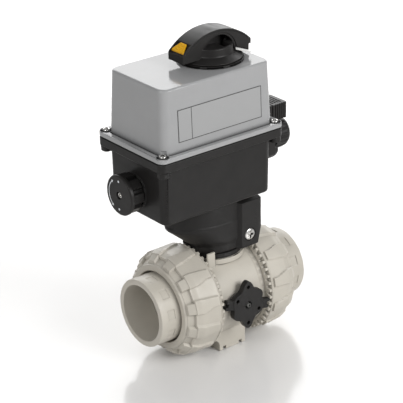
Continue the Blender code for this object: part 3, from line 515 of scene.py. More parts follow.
def around_pipe(sign, radii, distances, angles):
    """A closed skin about the pipe axis: radii[ring, step] at a distance from the stem for each ring."""
    x = sign * np.repeat(np.array(distances)[:, None], len(angles), 1)
    points = np.stack([x, -radii * np.cos(angles), PIPE_Z - sign * radii * np.sin(angles)], -1)
    return loft(points.tolist(), closed=True)


def nut_outside(distance, angles):
    """Outer radius of a union nut, at a distance from the stem.

    Its grip panels carry stepped ribs, which lean and widen outwards and end in blocks on the front shoulder.
    """
    place = (angles * NUT_RIBS / (2 * math.pi) - 0.4) % 1.0
    across = (place + 0.12 * smoothstep(distance, 42.0, 60.0)) % 1.0
    if distance > SHOULDER_START:
        along = distance - SHOULDER_START
        block = smoothstep(across, 0.0, 0.05) * (1 - smoothstep(across, 0.44, 0.52))
        shoulder = SHOULDER_R - 0.5 * along
        return shoulder + block * (BLOCK_R - 0.75 * along - shoulder)
    width = 0.30 + 0.22 * smoothstep(distance, 38.0, 64.0)
    rise = smoothstep(across, 0.0, 0.02) * (1 - smoothstep(across, width, width + 0.07))
    crown = PANEL_R - 0.045 * (distance - PANEL_START) - 2.2 * smoothstep(distance, 59.0, SHOULDER_START)
    ribs = RIB_H * rise if distance > 38.4 else 0.0
    hollow = 0.5 * np.sin(math.pi * np.clip((across - width) / (1 - width), 0.0, 1.0))
    return crown + ribs - hollow


def union_nut(side, sign):
    """Teeth at the inner end, a smooth rim, grip panels, a front shoulder and a stepped bore."""
    steps = NUT_TEETH * STEPS_PER_TOOTH
    angles = np.arange(steps) * 2 * math.pi / steps
    tooth = (np.arange(steps) % STEPS_PER_TOOTH) / STEPS_PER_TOOTH
    comb = smoothstep(tooth, 0.0, 0.17) * (1 - smoothstep(tooth, 0.5, 0.67))
    teeth = [(0.0, TOOTH_ROOT_R - 0.2, TOOTH_H - 0.4), (0.2, TOOTH_ROOT_R, TOOTH_H),
             (TOOTH_L, TOOTH_ROOT_R + 0.2, TOOTH_H)]
    rings = [(NUT_IN + along, root + height * comb) for along, root, height in teeth]
    rim = [(NUT_IN + TOOTH_L + 0.1, PANEL_R), (NUT_IN + TOOTH_L + 0.6, PANEL_R + 0.6)]
    rings += [(distance, np.full(steps, radius)) for distance, radius in rim]
    panels = [PANEL_START, 37.2, 38.3, 38.5, 40.0, *np.linspace(42.0, 60.0, 13), 62.0, 64.0, 65.4, 66.2, 66.5]
    shoulder = [66.7, 68.0, 70.0, 72.0, 73.4]
    rings += [(distance, nut_outside(distance, angles)) for distance in panels + shoulder]
    front_and_bore = [(73.6, 47.6), (74.4, 47.2), (75.4, 46.9), (NUT_OUT - 0.1, 46.4), (NUT_OUT, 45.8),
                      (NUT_OUT, NUT_OPENING_R + 0.7), (NUT_OUT - 0.6, NUT_OPENING_R), (62.0, NUT_OPENING_R),
                      (61.6, NUT_BORE_R), (NUT_IN, NUT_BORE_R)]
    rings += [(distance, np.full(steps, radius)) for distance, radius in front_and_bore]
    distances, radii = zip(*rings)
    show(around_pipe(sign, np.array(radii), distances, angles), f"union_nut_{side}", sharp=38.0)


def end_connector(side, sign):
    """Collar, tube and socket. The tube has a ring of shallow wrench flats."""
    steps = 288
    angles = np.arange(steps) * 2 * math.pi / steps
    socket_floor = HALF_LENGTH - SOCKET_DEPTH
    sector = (angles * WRENCH_FLATS / (2 * math.pi)) % 1.0
    flat = smoothstep(sector, 0.10, 0.14) * (1 - smoothstep(sector, 0.56, 0.60))
    outline = [(BORE_R, END_START), (COLLAR_R, END_START), (COLLAR_R, END_START + 5.6),
               (COLLAR_R - 0.4, END_START + 6), (CONNECTOR_R + 1, END_START + 6),
               (CONNECTOR_R, END_START + 7)]
    rings = [(d, np.full(steps, r)) for r, d in outline]
    flats = [(FLATS_START, 0.0), (FLATS_START + 0.4, 0.7), (FLATS_END - 0.4, 0.7), (FLATS_END, 0.0)]
    rings += [(distance, CONNECTOR_R - depth * flat) for distance, depth in flats]
    lip = [(CONNECTOR_R, HALF_LENGTH - 1.6), (CONNECTOR_R - 0.45, HALF_LENGTH - 0.5),
           (CONNECTOR_R - 1.5, HALF_LENGTH), (SOCKET_R + 1.1, HALF_LENGTH),
           (SOCKET_R + 0.3, HALF_LENGTH - 0.3), (SOCKET_R, HALF_LENGTH - 1.2),
           (SOCKET_R - 0.25, socket_floor), (BORE_R + 0.6, socket_floor), (BORE_R, socket_floor - 0.6)]
    rings += [(d, np.full(steps, r)) for r, d in lip]
    distances, radii = zip(*rings)
    show(around_pipe(sign, np.array(radii), distances, angles), f"end_connector_{side}")


def valve_body():
    """Tube with a grooved foot, a stem pad, a locking lug and a boss for the nut lock."""
    half = [(CAVITY_R, BODY_HALF), (41.8, BODY_HALF), (41.8, 52.1), (45.2, 52.1), (45.2, BODY_HALF),
            (BODY_R - 0.8, BODY_HALF), (BODY_R, BODY_HALF - 0.8), (BODY_R, 30.2), (BODY_R - 0.6, 29.8),
            (BODY_R - 0.6, 26.5), (BODY_R, 26.0)]
    profile = half + [(r, -x) for r, x in half[::-1]]
    inside = CAVITY_R + 2
    foot_top = PIPE_Z - math.sqrt(BODY_R ** 2 - FOOT_Y ** 2) + 2
    gusset = arc(-FOOT_X - FOOT_FILLET, 6, FOOT_FILLET, 90, 0, 10)
    foot = [(FOOT_X, 0), (FOOT_X, foot_top), (-FOOT_X - FOOT_FILLET, foot_top), *gusset, (-FOOT_X, 0)]
    body = join(revolve(profile, "X", (0.0, PIPE_Z), 144),
                prism(foot, -FOOT_Y, FOOT_Y, "Y"),
                cylinder("Z", (0, 0), PAD_R, PIPE_Z + inside, PAD_TOP, 72),
                prism(round_rect((-30.6, -20.2), (-29.5, -26.5), 1.3, 5), PIPE_Z + 34, BODY[2][1]),
                cylinder("Y", (0, PIPE_Z), 12, BODY[1][0], -inside))
    body = cut(body,
               cylinder("X", (0, PIPE_Z), CAVITY_R, -BODY_HALF + 3, BODY_HALF - 3, 96),
               cylinder("Z", (0, 0), PAD_R, PAD_TOP, PIPE_Z + BODY_R + 1, 72),
               cylinder("Z", (0, 0), STEM_CHAMBER_R, PIPE_Z + 20, 102.4),
               cylinder("Z", (0, 0), STEM_HOLE_R, 100, PAD_TOP + 2),
               cylinder("Y", (0, PIPE_Z), PIN_R + GAP, -62, -inside - 1),
               *[box((x - 2, x + 2), (-FOOT_Y - 1, FOOT_Y + 1), (-1, 4)) for x in (-GROOVE_X, GROOVE_X)],
               *[cylinder("Z", (0, y), INSERT_R, -1, INSERT_DEPTH) for y in (-INSERT_Y, INSERT_Y)])
    show(body, "valve_body", bevel=0.5)


def lock_outline():
    """Six-lobed disc whose top and bottom lobes are drawn out, as (x, z)."""
    outline = []
    for step in range(180):
        angle = 2 * math.pi * step / 180
        radius = LOCK_R + 1.5 * math.cos(6 * angle + math.pi) + 5.6 * abs(math.sin(angle)) ** 22
        outline.append((radius * math.cos(angle), PIPE_Z + radius * math.sin(angle)))
    return outline


def nut_lock():
    """Lobed disc with holes, and two arms whose notched ends reach for the teeth of the nuts."""
    front, back = LOCK[1]
    arms = []
    for sign in (-1, 1):
        arm = box((sign * (LOCK_R - 6), sign * LOCK_ARM_REACH), (front + 1, back),
                  (PIPE_Z - 5.5, PIPE_Z + 5.5))
        notch = box((sign * LOCK_NOTCH_START, sign * (LOCK_ARM_REACH + 1.4)), (front, back + 1),
                    (PIPE_Z - 1.9, PIPE_Z + 1.9))
        arms.append(turned(cut(arm, notch), LOCK_TILT, "Y", (0, 0, PIPE_Z)))
    lock = join(prism(lock_outline(), front, back, "Y"), *arms)
    holes = [(0, 21.4), (0, -21.4), (14.6, -8.8), (-14.6, 8.8)]
    lock = cut(lock,
               cylinder("Y", (0, PIPE_Z), PIN_R + GAP, front - 1, back + 1),
               cylinder("Y", (0, PIPE_Z), 4.2, front - 1, front + 1.2),
               *[cylinder("Y", (x, PIPE_Z + z), 2.1, front - 1, front + 4, 32) for x, z in holes])
    show(lock, "nut_lock", bevel=0.5)


def nut_lock_pin():
    """Plain pin with a socket in its rounded head."""
    front, back = span("nut_lock_pin")[1]
    profile = [(0, front + 1.6), (1.5, front + 1.6), (1.6, front + 0.1), (2.1, front + 0.2),
               (2.5, front + 0.9), (2.5, back), (0, back)]
    show(revolve(profile, "Y", (0.0, PIPE_Z), 40), "nut_lock_pin", look=PIN_GREY)


# Housing

def drafted(x, y, inset, radius, z):
    """One level of a housing: a round rectangle moved in by the inset."""
    outline = round_rect((x[0] + inset, x[1] - inset), (-y + inset, y - inset), max(radius - inset, 1.0))
    return [(u, v, z) for u, v in outline]


def rounded_edge(radius, steps=5):
    """(how far in, how far below the end) along a quarter circle, from the flat end to the wall."""
    return [(radius * (1 - math.sin(a)), radius * (1 - math.cos(a)))
            for a in [math.pi / 2 * i / steps for i in range(steps + 1)]]


def housing_shell(inset, low, high):
    """The drafted box of the lower housing, moved in by the inset and up by low and high at its ends."""
    bottom, top = HOUSING_BOTTOM + low, SPLIT_Z + high
    levels = [(bottom + rise, edge) for edge, rise in rounded_edge(3.2)] + [(top, 0.0)]
    sections = []
    for z, edge in levels:
        draft = (SPLIT_Z - z) * math.tan(HOUSING_DRAFT)
        sections.append(drafted(HOUSING_X, HOUSING_Y, inset + edge + draft, CORNER_R, z))
    return loft(sections)


def flange_plate(low, high, edge):
    """The flange's outline as a plate with rounded edges."""
    rounding = rounded_edge(edge, 3)
    levels = [(low + rise, step) for step, rise in rounding]
    levels += [(high - rise, step) for step, rise in rounding[::-1]]
    return loft([drafted(FLANGE_X, FLANGE_Y, step, FLANGE_R, z) for z, step in levels])


def neck():
    """Round foot that flares up to the housing, cut short at its +X side, with a ledge near its rim."""
    top = HOUSING_BOTTOM + 2.5
    heights = [NECK_BOTTOM, 116.0, 117.0, 119.0, 122.0, *np.linspace(124.0, 148.0, 13), 150.0, 150.4, top]
    sections = []
    for z in heights:
        flare = max(0.0, z - NECK_FLARE_Z) * NECK_SLOPE
        round_foot = 1.6 * max(0.0, 1 - (z - NECK_BOTTOM) / 3.0) ** 2
        ledge = 0.7 if z > 150.2 else 0.0
        reach = min(NECK_X, NECK_R + flare) - round_foot - ledge
        half_width = min(32.0, 30.5 + flare / 4) - round_foot - ledge
        ring = []
        for u, v in circle(0, 0, 1.0, 96):
            ring.append((u * (reach if u < 0 else min(reach, COLUMN_X[1] - 2)), v * half_width, z))
        sections.append(ring)
    return loft(sections)


def column():
    """Squared tower at the +X side of the neck, with bevelled corners and a roof that rises inwards."""
    (start, end), side = COLUMN_X, COLUMN_Y
    front = [(start - 8, -(side - 9.6)), (start + 1.6, -side), (end - 8.4, -side), (end, -(side - 1.2))]
    plan = front + [(x, -y) for x, y in front[::-1]]
    tower = prism(plan, NECK_BOTTOM + 0.5, HOUSING_BOTTOM + 2.5)
    eave, ridge = HOUSING_BOTTOM - 10.5, HOUSING_BOTTOM + 3
    wedges = []
    for sign in (-1, 1):
        outer, inner = sign * (side + 1), sign * (side - 13)
        wedges.append(prism([(outer, eave), (outer, ridge), (inner, ridge), (inner, eave + 3)],
                            start - 10, end + 1, "X"))
    return cut(tower, *wedges)


def flange_screws():
    """(x, y) of the four cover screws."""
    return [(x, y) for x in (FLANGE_X[0] + SCREW_INSET, FLANGE_X[1] - SCREW_INSET)
            for y in (-FLANGE_Y + SCREW_INSET, FLANGE_Y - SCREW_INSET)]


def glands():
    """(y, z) of the two cable glands."""
    bodies = [span(name) for name in ("power_gland_body", "signal_gland_body")]
    return [(middle(y), middle(z)) for _, y, z in bodies]


def idler_cup():
    """Bearing on the housing's floor for the idler gear's lower end."""
    floor_z = HOUSING_BOTTOM + 1.5
    return revolve([(0, floor_z), (7, floor_z), (7, 195), (3.3, 195), (3.3, 186), (0, 186)], "Z",
                   (IDLER_X, 0.0), 32)


def shaft_bore():
    """Wide bore up the neck for the stem pad, then a narrow one for the shaft."""
    low, top = NECK_BOTTOM - 1, HOUSING_BOTTOM + WALL + 1
    return revolve([(0, low), (STEM_BORE_R, low), (STEM_BORE_R, STEM_BORE_TOP), (SHAFT_BORE_R, STEM_BORE_TOP),
                    (SHAFT_BORE_R, top), (0, top)], steps=48)


def lower_housing():
    """Open box with a flange lip, corner bosses, a neck, a screw column and a boss behind the knob."""
    under = SPLIT_Z - LIP_T
    knob_axis = (KNOB_Y, KNOB_Z)
    (left, right), corner = HOUSING_X, COLUMN_X[1] + 1
    bosses = []
    for x, y in flange_screws():
        outline = round_rect((x - 5.9, x + 5.9), (y - 5.9, y + 5.9), 4.5, 6)
        bosses.append(prism(outline, under - 6.5, under + 1))
    housing = join(housing_shell(0.0, 0.0, 0.0), flange_plate(under, SPLIT_Z, 1.0), neck(), column(), *bosses,
                   cylinder("X", knob_axis, KNOB_BOSS_R, KNOB[0][1] + GAP, left + 2, 72))
    housing = cut(housing, housing_shell(WALL, WALL, 2.0))
    housing = join(housing, idler_cup())
    chamfer = prism([(corner, NECK_BOTTOM - 1), (corner, 138.0), (34.9, NECK_BOTTOM - 1)], -40, 40, "Y")
    nut_room = [cylinder("X", (0, PIPE_Z), NUT_ROOM_R, s * (NUT_IN - 0.5), s * 110, 96) for s in (-1, 1)]
    seats = [cylinder("Y", NECK_SCREW, NECK_SEAT_R, s * (COLUMN_Y - 2.4), s * (COLUMN_Y + 1))
             for s in (-1, 1)]
    housing = cut(housing, chamfer, *nut_room, shaft_bore(),
                  cylinder("X", knob_axis, 5.0, KNOB[0][0], left + 8),
                  *[cylinder("X", spot, GLAND_HOLE_R, right - 8, right + 2) for spot in glands()],
                  *[cylinder("Z", spot, SCREW_HOLE_R, 238.0, SPLIT_Z + 1, 24) for spot in flange_screws()],
                  *seats,
                  *[cylinder("Y", NECK_SCREW, 3.0, s * 18, s * COLUMN_Y) for s in (-1, 1)])
    show(housing, "lower_housing", bevel=0.7)


def cover_level(z, inset):
    """One level of the cover's wall, which leans in towards the top."""
    draft = (COVER_TOP - z) * math.tan(COVER_DRAFT)
    return drafted(COVER_TOP_X, COVER_TOP_Y, inset - draft, CORNER_R - draft, z)


def cover_skin(plate_top, channel):
    """The cover's outside: flange edges, drip channel, drafted wall and rounded top."""
    edge = rounded_edge(0.8, 3)
    levels = [drafted(FLANGE_X, FLANGE_Y, step, FLANGE_R, COVER_LOW + rise) for step, rise in edge]
    levels += [drafted(FLANGE_X, FLANGE_Y, step, FLANGE_R, plate_top - rise) for step, rise in edge[::-1]]
    levels += [cover_level(plate_top, -CHANNEL_W), cover_level(channel, 0.1 - CHANNEL_W)]
    levels += [cover_level(channel, 0.0)]
    levels += [cover_level(COVER_TOP - fall, step) for step, fall in rounded_edge(2.4, 6)[::-1]]
    return loft(levels)


def cover():
    """Drafted cap on a flange with a drip channel, screw seats and posts, and a bearing for the shaft."""
    plate_top = COVER_LOW + COVER_PLATE_T
    channel = plate_top - CHANNEL_DEPTH
    top_inside = COVER_TOP - WALL
    spots = flange_screws()
    cap = join(cover_skin(plate_top, channel),
               *[cylinder("Z", spot, SEAT_BOSS_R, channel - 0.5, plate_top) for spot in spots])
    cap = cut(cap, *[cylinder("Z", spot, SEAT_R, plate_top - SEAT_DEPTH, plate_top + 4.5, 64)
                     for spot in spots])
    cap = cut(cap, loft([cover_level(COVER_LOW - 2, WALL), cover_level(top_inside - 3, WALL),
                         cover_level(top_inside, WALL + 3)]))
    cap = join(cap, cylinder("Z", (0, 0), 15.0, 313.0, COVER_TOP - 1),
               *[cylinder("Z", spot, 3.3, COVER_LOW + 1, plate_top - SCREW_SUNK) for spot in spots])
    cap = cut(cap,
              cylinder("Z", (0, 0), SHAFT_R + 0.4, 310, COVER_TOP + 2),
              cylinder("Z", (0, 0), 11.4, 312, 318.5),
              *[cylinder("Z", spot, SCREW_HOLE_R, COVER_LOW - 1, plate_top + 3, 24) for spot in spots])
    show(cap, "cover", bevel=0.3)


def cross_slot(width, reach, low, high):
    """A Phillips cross about the Z axis."""
    long_side, short_side, height = (-reach, reach), (-width / 2, width / 2), (low, high)
    return [box(long_side, short_side, height), box(short_side, long_side, height)]


def pan_screw(node, shank, head, top, direction, origin):
    """Pan-head cross screw, built along +Z up to its top, then turned to a direction and moved to an origin.

    shank is (radius, lowest z) and head is (radius, thickness).
    """
    (shank_r, low), (head_r, head_t) = shank, head
    crown = head_t * 0.55
    dome = [(head_r * math.cos(a), top - crown + crown * math.sin(a))
            for a in [math.pi / 2 * i / 8 for i in range(8)]]
    under = top - head_t
    profile = [(0, low), (shank_r, low), (shank_r, under), (head_r, under), *dome, (0, top)]
    screw = cut(revolve(profile, steps=48), *cross_slot(head_r * 0.34, head_r * 0.64, under, top + 1))
    turn = Vector((0, 0, 1)).rotation_difference(Vector(direction)).to_matrix().to_4x4()
    screw.transform(Matrix.Translation(origin) @ turn)
    show(screw, node, bevel=0.12)


def screws():
    """The four cover screws in their seats, and a neck screw on each side of the column."""
    seat = COVER_LOW + COVER_PLATE_T - SCREW_SUNK + 0.1
    for number, (x, y) in enumerate(flange_screws(), 1):
        node = f"cover_screw_{number}"
        pan_screw(node, (2.1, span(node)[2][0]), (4.0, 3.6), seat + 3.6, (0, 0, 1), (x, y, 0))
    x, z = NECK_SCREW
    for node, sign in (("neck_screw_front", -1), ("neck_screw_back", 1)):
        pan_screw(node, (2.6, 19.0), (6.7, 3.0), COLUMN_Y + 0.7, (0, sign, 0), (x, 0, z))


def on_wall(x, z, low, high):
    """A thin plate on the cover's -Y wall, between two heights above it."""
    corners = ((x[0], z[0]), (x[1], z[0]), (x[1], z[1]), (x[0], z[1]))
    sections = []
    for lift in (low, high):
        sections.append([(u, -COVER_TOP_Y - (COVER_TOP - w) * math.tan(COVER_DRAFT) - lift, w)
                         for u, w in corners])
    return loft(sections)


def label_plate():
    """Plain film with a printed border and one dividing line."""
    x, _, z = LABEL
    line, divide = LABEL_LINE, x[0] + LABEL_DIVIDE * (x[1] - x[0])
    columns = [x[0], x[0] + line, divide - line / 2, divide + line / 2, x[1] - line, x[1]]
    rows = [z[0], z[0] + line, z[1] - line, z[1]]
    pieces = [on_wall(x, z, 0.12, 0.40)]
    for i, across in enumerate(zip(columns, columns[1:])):
        for j, up in enumerate(zip(rows, rows[1:])):
            inked = i in (0, 2, 4) or j in (0, 2)
            if inked:
                inlay = on_wall(across, up, 0.36, 0.43)
                for face in inlay.faces:
                    face.material_index = 1
                pieces.append(inlay)
    show(merged(pieces), "label_plate", extra=(INK_BLACK,))


# Handle, indicator and selector

def handle_arc_z(x, radius):
    """Height of a circle round the centre of the handle's arched top."""
    return HANDLE[2][1] - HANDLE_ARC_R + math.sqrt(radius ** 2 - x ** 2)


def handle_fin():
    """The arched grip, with a blind arch and a crease in each side."""
    reach, heel_z, half = HANDLE[0][1], HANDLE[2][0], HANDLE_W / 2
    foot_z = heel_z + HANDLE_FOOT
    heel, toe = reach - HANDLE_HEEL, reach - HANDLE_TOE
    centre_z = HANDLE[2][1] - HANDLE_ARC_R
    lean = math.degrees(math.asin(reach / HANDLE_ARC_R))
    outline = [(-reach, foot_z), (heel, foot_z), (heel, heel_z), (toe, heel_z), (toe, foot_z + 3.2),
               (reach, foot_z + 3.2), *arc(0, centre_z, HANDLE_ARC_R, 90 - lean, 90 + lean, 56)]
    crease = [*arc(0, centre_z, HANDLE_ARC_R - 1.6, 47, 133, 56),
              *arc(0, centre_z, HANDLE_ARC_R - 2.5, 133, 47, 56)]
    cuts = []
    for sign in (-1, 1):
        face = sign * (half + 1)
        cuts.append(cylinder("Y", (ARCH_X, ARCH_Z), ARCH_R, sign * (half - ARCH_DEPTH), face, 96))
        cuts.append(cylinder("Y", (ARCH_X, ARCH_Z), ARCH_R + 2.4, sign * (half - 1.0), face, 96))
        cuts.append(prism(crease, sign * (half - 0.6), face, "Y"))
    return cut(prism(outline, -half, half, "Y"), *cuts)


def handle_skirt():
    """The hub under the grip, on a conical skirt."""
    skirt = [(0, 329.2), (SKIRT_R - 0.4, 329.2), (SKIRT_R, 329.6), (SKIRT_R, 330.4)]
    hub = [(HUB_R + 3.0, 333.6), (HUB_R + 1.0, 334.4), (HUB_R, 336.0), (HUB_R, HUB_TOP_Z - 1.5),
           (HUB_R - 0.5, HUB_TOP_Z - 0.5), (HUB_R - 1.6, HUB_TOP_Z), (0, HUB_TOP_Z)]
    return revolve(skirt + hub)


def handle():
    """Arched grip on a hub and skirt, with pockets in the hub, a window seat in its end and a shaft hole."""
    pockets = [box((3.0, 12.5), (sign * 2.2, sign * (HUB_R - 4.5)), (HUB_TOP_Z - 6.0, 351.5))
               for sign in (-1, 1)]
    grip = cut(join(handle_fin(), handle_skirt()), *pockets)
    end = WINDOW_X[1] + 0.6
    seat = [(x, handle_arc_z(x, HANDLE_ARC_R - 1.8)) for x in (-43.0, -41.0, -38.5, -36.0, end)]
    seat += [(end, 359.0), (-50.0, 359.0), (-50.0, seat[0][1])]
    grip = cut(grip, prism(seat, -10.6, 10.6, "Y"), cylinder("Z", (0, 0), SHAFT_R + 0.2, 325, 338.3))
    show(grip, "handle", bevel=0.3)


def handle_window():
    """Tapered window that follows the grip's arched top."""
    levels = []
    for x in np.linspace(*WINDOW_X, 9):
        width = WINDOW_HALF - (x - WINDOW_X[0]) * WINDOW_TAPER
        low, high = handle_arc_z(x, HANDLE_ARC_R - 1.5), handle_arc_z(x, HANDLE_ARC_R + 0.1)
        levels.append([(x, -width, low), (x, width, low), (x, width, high), (x, -width, high)])
    show(loft(levels), "handle_window", bevel=0.5)


def pointer():
    """White index on the skirt of the hub, with a groove along its top."""
    bar = prism([(26.5, 334.9), (42.5, 330.7), (42.5, 332.6), (26.5, 336.8)], -1.6, 1.6, "Y")
    groove = prism([(29.0, 335.6), (40.5, 332.6), (40.5, 334.6), (29.0, 337.6)], -0.35, 0.35, "Y")
    show(turned(cut(bar, groove), -35), "pointer", bevel=0.3)


def indicator_ring():
    """Slotted ring fixed to the top of the cover under the handle."""
    (low, high), radius = RING[2], SKIRT_R + 1.5
    profile = [(20.0, low), (radius, low), (radius, high - 0.5), (radius - 0.5, high), (20.0, high)]
    slots = []
    for number in range(RING_SLOTS):
        slot = box((radius - 4.0, radius + 1.0), (-8.5, 8.5), (low + 0.5, high - 0.5))
        slots.append(turned(slot, 360 / RING_SLOTS * number))
    show(cut(revolve(profile, steps=144), *slots), "indicator_ring", bevel=0.15)


def mode_knob():
    """Face disc in front of a barrel with grip lugs, with a hole for its screw."""
    front, back = KNOB[0]
    centre = (KNOB_Y, KNOB_Z)
    rim = front + KNOB_FACE_T
    profile = [(0, front), (KNOB_R - 1.6, front), (KNOB_R - 0.5, front + 0.5), (KNOB_R, front + 1.6),
               (KNOB_R, rim), (KNOB_R - 0.6, rim + 0.6), (KNOB_BARREL_R, rim + 0.6), (KNOB_BARREL_R, back),
               (0, back)]
    lugs = []
    for number in range(KNOB_LUGS):
        lug = turned(box((front + 4, back - 2.0), (-5.0, 5.0), (14.0, 20.6)), 360 / KNOB_LUGS * number, "X")
        lug.transform(Matrix.Translation((0, *centre)))
        lugs.append(lug)
    knob = join(revolve(profile, "X", centre), *lugs)
    knob = cut(knob,
               cylinder("X", centre, 4.2, front - 1, front + 2.6),
               cylinder("X", centre, 2.2, front, -111.0, 24),
               cylinder("X", centre, 4.8, -112.0, back + 1))
    show(knob, "mode_knob", bevel=0.4)


def knob_marks():
    """White arc with an arrowhead at each end and two round marks, printed just proud of the knob's face."""
    front, half_swing = KNOB[0][0], 48
    swing = arc(0, 0, 17.6, -half_swing, half_swing, 24)
    marks = [swing + [(u * 0.945, v * 0.945) for u, v in swing[::-1]]]
    for lean in (-half_swing, half_swing):
        tip = lean + math.copysign(9, lean)
        marks.append([arc(0, 0, radius, angle, angle, 1)[0]
                      for radius, angle in ((18.8, lean), (17.1, tip), (15.4, lean))])
    marks += [circle(0, v, 1.3, 24) for v in (15.5, -15.5)]
    prints = [prism([(KNOB_Y + u, KNOB_Z + v) for u, v in mark], front - 0.02, front + 0.05, "X")
              for mark in marks]
    mesh = merged(prints)
    mesh.transform(Matrix.Scale(MM, 4))
    obj = new_object("knob_marks", mesh)
    obj.data.materials.append(INK_WHITE)
    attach(obj, "selector")


def knob_screw():
    """Rounded screw head with a socket, sunk in the knob's face."""
    head = KNOB[0][0] + 2.5
    profile = [(0, head), (1.7, head), (1.9, head - 1.2), (2.4, head - 1.4), (3.2, head - 1.0),
               (3.5, head - 0.2), (3.3, head + 0.4), (1.9, head + 0.6), (1.9, -113.0), (0, -113.0)]
    show(revolve(profile, "X", (KNOB_Y, KNOB_Z), 40), "mode_knob_screw")


# Electrical connectors

def connector_console():
    """Block on the +X wall, with an upright leg outside the flange for the plug."""
    (back, front), _, (low, high) = CONSOLE
    block = join(prism(round_rect((-36, 10), (212, 241.9), 3, 6), back, front, "X"),
                 prism(round_rect((-14, 10), (low, 230), 3, 6), back, front, "X"),
                 box((54.6, front), (-31, -1), (240, high)))
    block = cut(block,
                *[cylinder("X", spot, GLAND_HOLE_R, back - 1, front + 1) for spot in glands()],
                cylinder("X", PLUG_AT, 1.9, 50.0, front + 1, 24))
    show(block, "connector_console", bevel=0.8)


def gland(name, ribs):
    """Cable gland: a flanged body on the console and a ribbed, domed nut."""
    (start, end), y, z = span(f"{name}_body")
    centre, flange = (middle(y), middle(z)), (y[1] - y[0]) / 2
    radius = flange / FLANGE_TO_NUT
    hole, thread = radius * 0.42, radius * 0.7
    base = [(hole, start), (flange, start), (flange, start + 5), (thread, start + 5), (thread, end),
            (hole, end)]
    show(revolve(base, "X", centre, 64), f"{name}_body", bevel=0.3)
    nut_start, nut_end = span(f"{name}_nut")[0]
    length = nut_end - nut_start
    steps = STEPS_PER_RIB * ribs
    angles = np.arange(steps) * 2 * math.pi / steps
    wave = smoothstep(np.abs(np.arange(steps) % STEPS_PER_RIB / (STEPS_PER_RIB / 2) - 1), 0.25, 0.55)
    rings = []
    for along, scale, ribbed in ((0.0, 0.965, 0.0), (0.03, 0.98, 1.0), (0.08, 1.0, 1.0), (0.62, 1.0, 1.0),
                                 (0.66, 0.985, 0.3), (0.76, 0.95, 0.0), (0.88, 0.85, 0.0), (0.97, 0.70, 0.0),
                                 (1.0, 0.62, 0.0)):
        rings.append((nut_start + along * length, radius * scale - 0.05 * radius * ribbed * wave))
    inner = thread + GAP
    for distance, reach in ((nut_end, hole + 0.4), (nut_end - 0.4, hole), (end + 1, hole), (end + 0.9, inner),
                            (nut_start, inner)):
        rings.append((distance, np.full(steps, reach)))
    sections = []
    for distance, reach in rings:
        sections.append(np.stack([np.full(steps, distance), centre[0] + reach * np.cos(angles),
                                  centre[1] + reach * np.sin(angles)], -1).tolist())
    show(loft(sections, closed=True), f"{name}_nut", sharp=36.0)


def din_plug():
    """Rectangular plug with grooved sides, a stepped top and its retaining screw."""
    (low, high), y, z = PLUG
    notches = 5
    pitch = (high - low - 5) / notches
    side = [(low, y[0])]
    for number in range(notches):
        start = low + 2.0 + pitch * number
        side += [(start + 1.0, y[0]), (start + 1.2, y[0] + 0.9)]
        side += [(start + 2.0, y[0] + 0.9), (start + 2.2, y[0])]
    side += [(high - 1.8, y[0]), (high - 0.5, y[0] + 0.5), (high, y[0] + 1.8)]
    centre_y = middle(y)
    plug = prism(side + [(u, 2 * centre_y - v) for u, v in side[::-1]], *z)
    steps = [box((low + 3 + 3.4 * i, low + 4.4 + 3.4 * i), (y[0] + 4, y[1] - 4), (z[1] - 0.8, z[1] + 1))
             for i in range(4)]
    plug = cut(plug,
               cylinder("X", PLUG_AT, 2.0, low - 1, high + 1),
               cylinder("X", PLUG_AT, 4.0, high - 1.5, high + 1),
               *steps)
    show(plug, "din_plug", bevel=0.3)
    start, end = span("plug_screw")[0]
    pan_screw("plug_screw", (1.5, start), (3.4, 2.6), end, (1, 0, 0), (0, *PLUG_AT))


# Scene

def floor():
    """Pale, slightly glossy studio floor."""
    mesh = bmesh.new()
    bmesh.ops.create_grid(mesh, x_segments=8, y_segments=8, size=6.0)
    plane = new_object("floor", mesh)
    plane.location.z = -0.0004
    look = Look("floor", 0.14, shine=0.7)
    cloud = look.noise(180.0, 2.0)
    look.link(look.blend(look.ranged(cloud, 0.0, 1.0), (0.775, 0.768, 0.76), (0.805, 0.798, 0.79)),
              look.shader.inputs["Base Color"])
    look.link(look.ranged(cloud, 0.12, 0.17), look.shader.inputs["Roughness"])
    plane.data.materials.append(look.material)


def softbox(name, place, aim, width, height, power):
    """A rectangular lamp that faces a point. Sizes are in metres and power in watts."""
    data = bpy.data.lights.new(name, "AREA")
    data.shape = "RECTANGLE"
    data.size, data.size_y = width, height
    data.energy = power
    lamp = bpy.data.objects.new(name, data)
    lamp.location = place
    lamp.rotation_euler = (Vector(aim) - Vector(place)).to_track_quat("-Z", "Y").to_euler()
    bpy.context.scene.collection.objects.link(lamp)


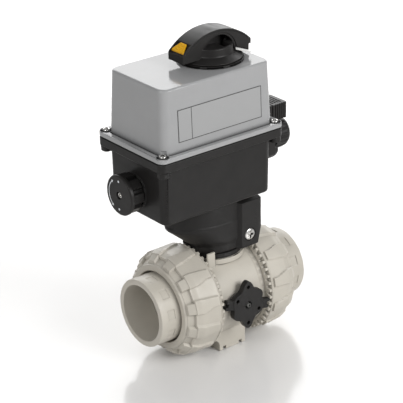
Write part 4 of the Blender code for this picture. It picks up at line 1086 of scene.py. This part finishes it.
def lights():
    """Pale world, a wide lamp behind that the cover's top mirrors, a soft key lamp and a weak side lamp."""
    world = bpy.data.worlds.new("studio")
    world.use_nodes = True
    world.node_tree.nodes["Background"].inputs["Color"].default_value = (1.0, 1.0, 1.0, 1.0)
    world.node_tree.nodes["Background"].inputs["Strength"].default_value = 0.30
    bpy.context.scene.world = world
    centre = (0.0, 0.0, 0.15)
    softbox("backdrop", (1.25, 1.6, 1.15), centre, width=3.2, height=1.7, power=50.0)
    softbox("key", (0.5, -1.7, 1.0), centre, width=1.2, height=0.9, power=29.0)
    softbox("side", (-1.5, -0.4, 1.0), centre, width=0.8, height=0.8, power=10.0)


# The camera's angles in degrees, its distance, its lens on a 36 mm sensor, and the point it is aimed beside.
CAMERA_AZIMUTH, CAMERA_ELEVATION, CAMERA_ROLL = -38.154, 24.512, -1.033
CAMERA_DISTANCE, CAMERA_LENS = 1837.2, 152.74
CAMERA_AIM, CAMERA_OFFSET = (-2.5, 0.0, 152.0), (-9.757, 10.953)


def camera():
    """The photograph's view."""
    a, e, r = map(math.radians, (CAMERA_AZIMUTH, CAMERA_ELEVATION, CAMERA_ROLL))
    back = Vector((math.sin(a) * math.cos(e), -math.cos(a) * math.cos(e), math.sin(e)))
    level = Vector((math.cos(a), math.sin(a), 0.0))
    upright = back.cross(level)
    right = level * math.cos(r) + upright * math.sin(r)
    up = upright * math.cos(r) - level * math.sin(r)
    place = Vector(CAMERA_AIM) + right * CAMERA_OFFSET[0] + up * CAMERA_OFFSET[1] + back * CAMERA_DISTANCE
    data = bpy.data.cameras.new("camera")
    data.lens = CAMERA_LENS
    data.sensor_width = 36.0
    data.clip_end = 20.0
    view = bpy.data.objects.new("camera", data)
    view.matrix_world = Matrix.Translation(place * MM) @ Matrix((right, up, back)).transposed().to_4x4()
    bpy.context.scene.collection.objects.link(view)
    bpy.context.scene.camera = view


def build():
    """Everything, from the foot up, then the studio."""
    dress_cad_nodes()
    valve_body()
    for side, sign in (("near", -1), ("far", 1)):
        union_nut(side, sign)
        end_connector(side, sign)
    nut_lock()
    nut_lock_pin()
    lower_housing()
    cover()
    screws()
    label_plate()
    handle()
    handle_window()
    pointer()
    indicator_ring()
    mode_knob()
    knob_marks()
    knob_screw()
    connector_console()
    gland("power_gland", 20)
    gland("signal_gland", 12)
    din_plug()
    floor()
    lights()
    camera()


build()
bpy.context.scene.view_settings.view_transform = "Standard"
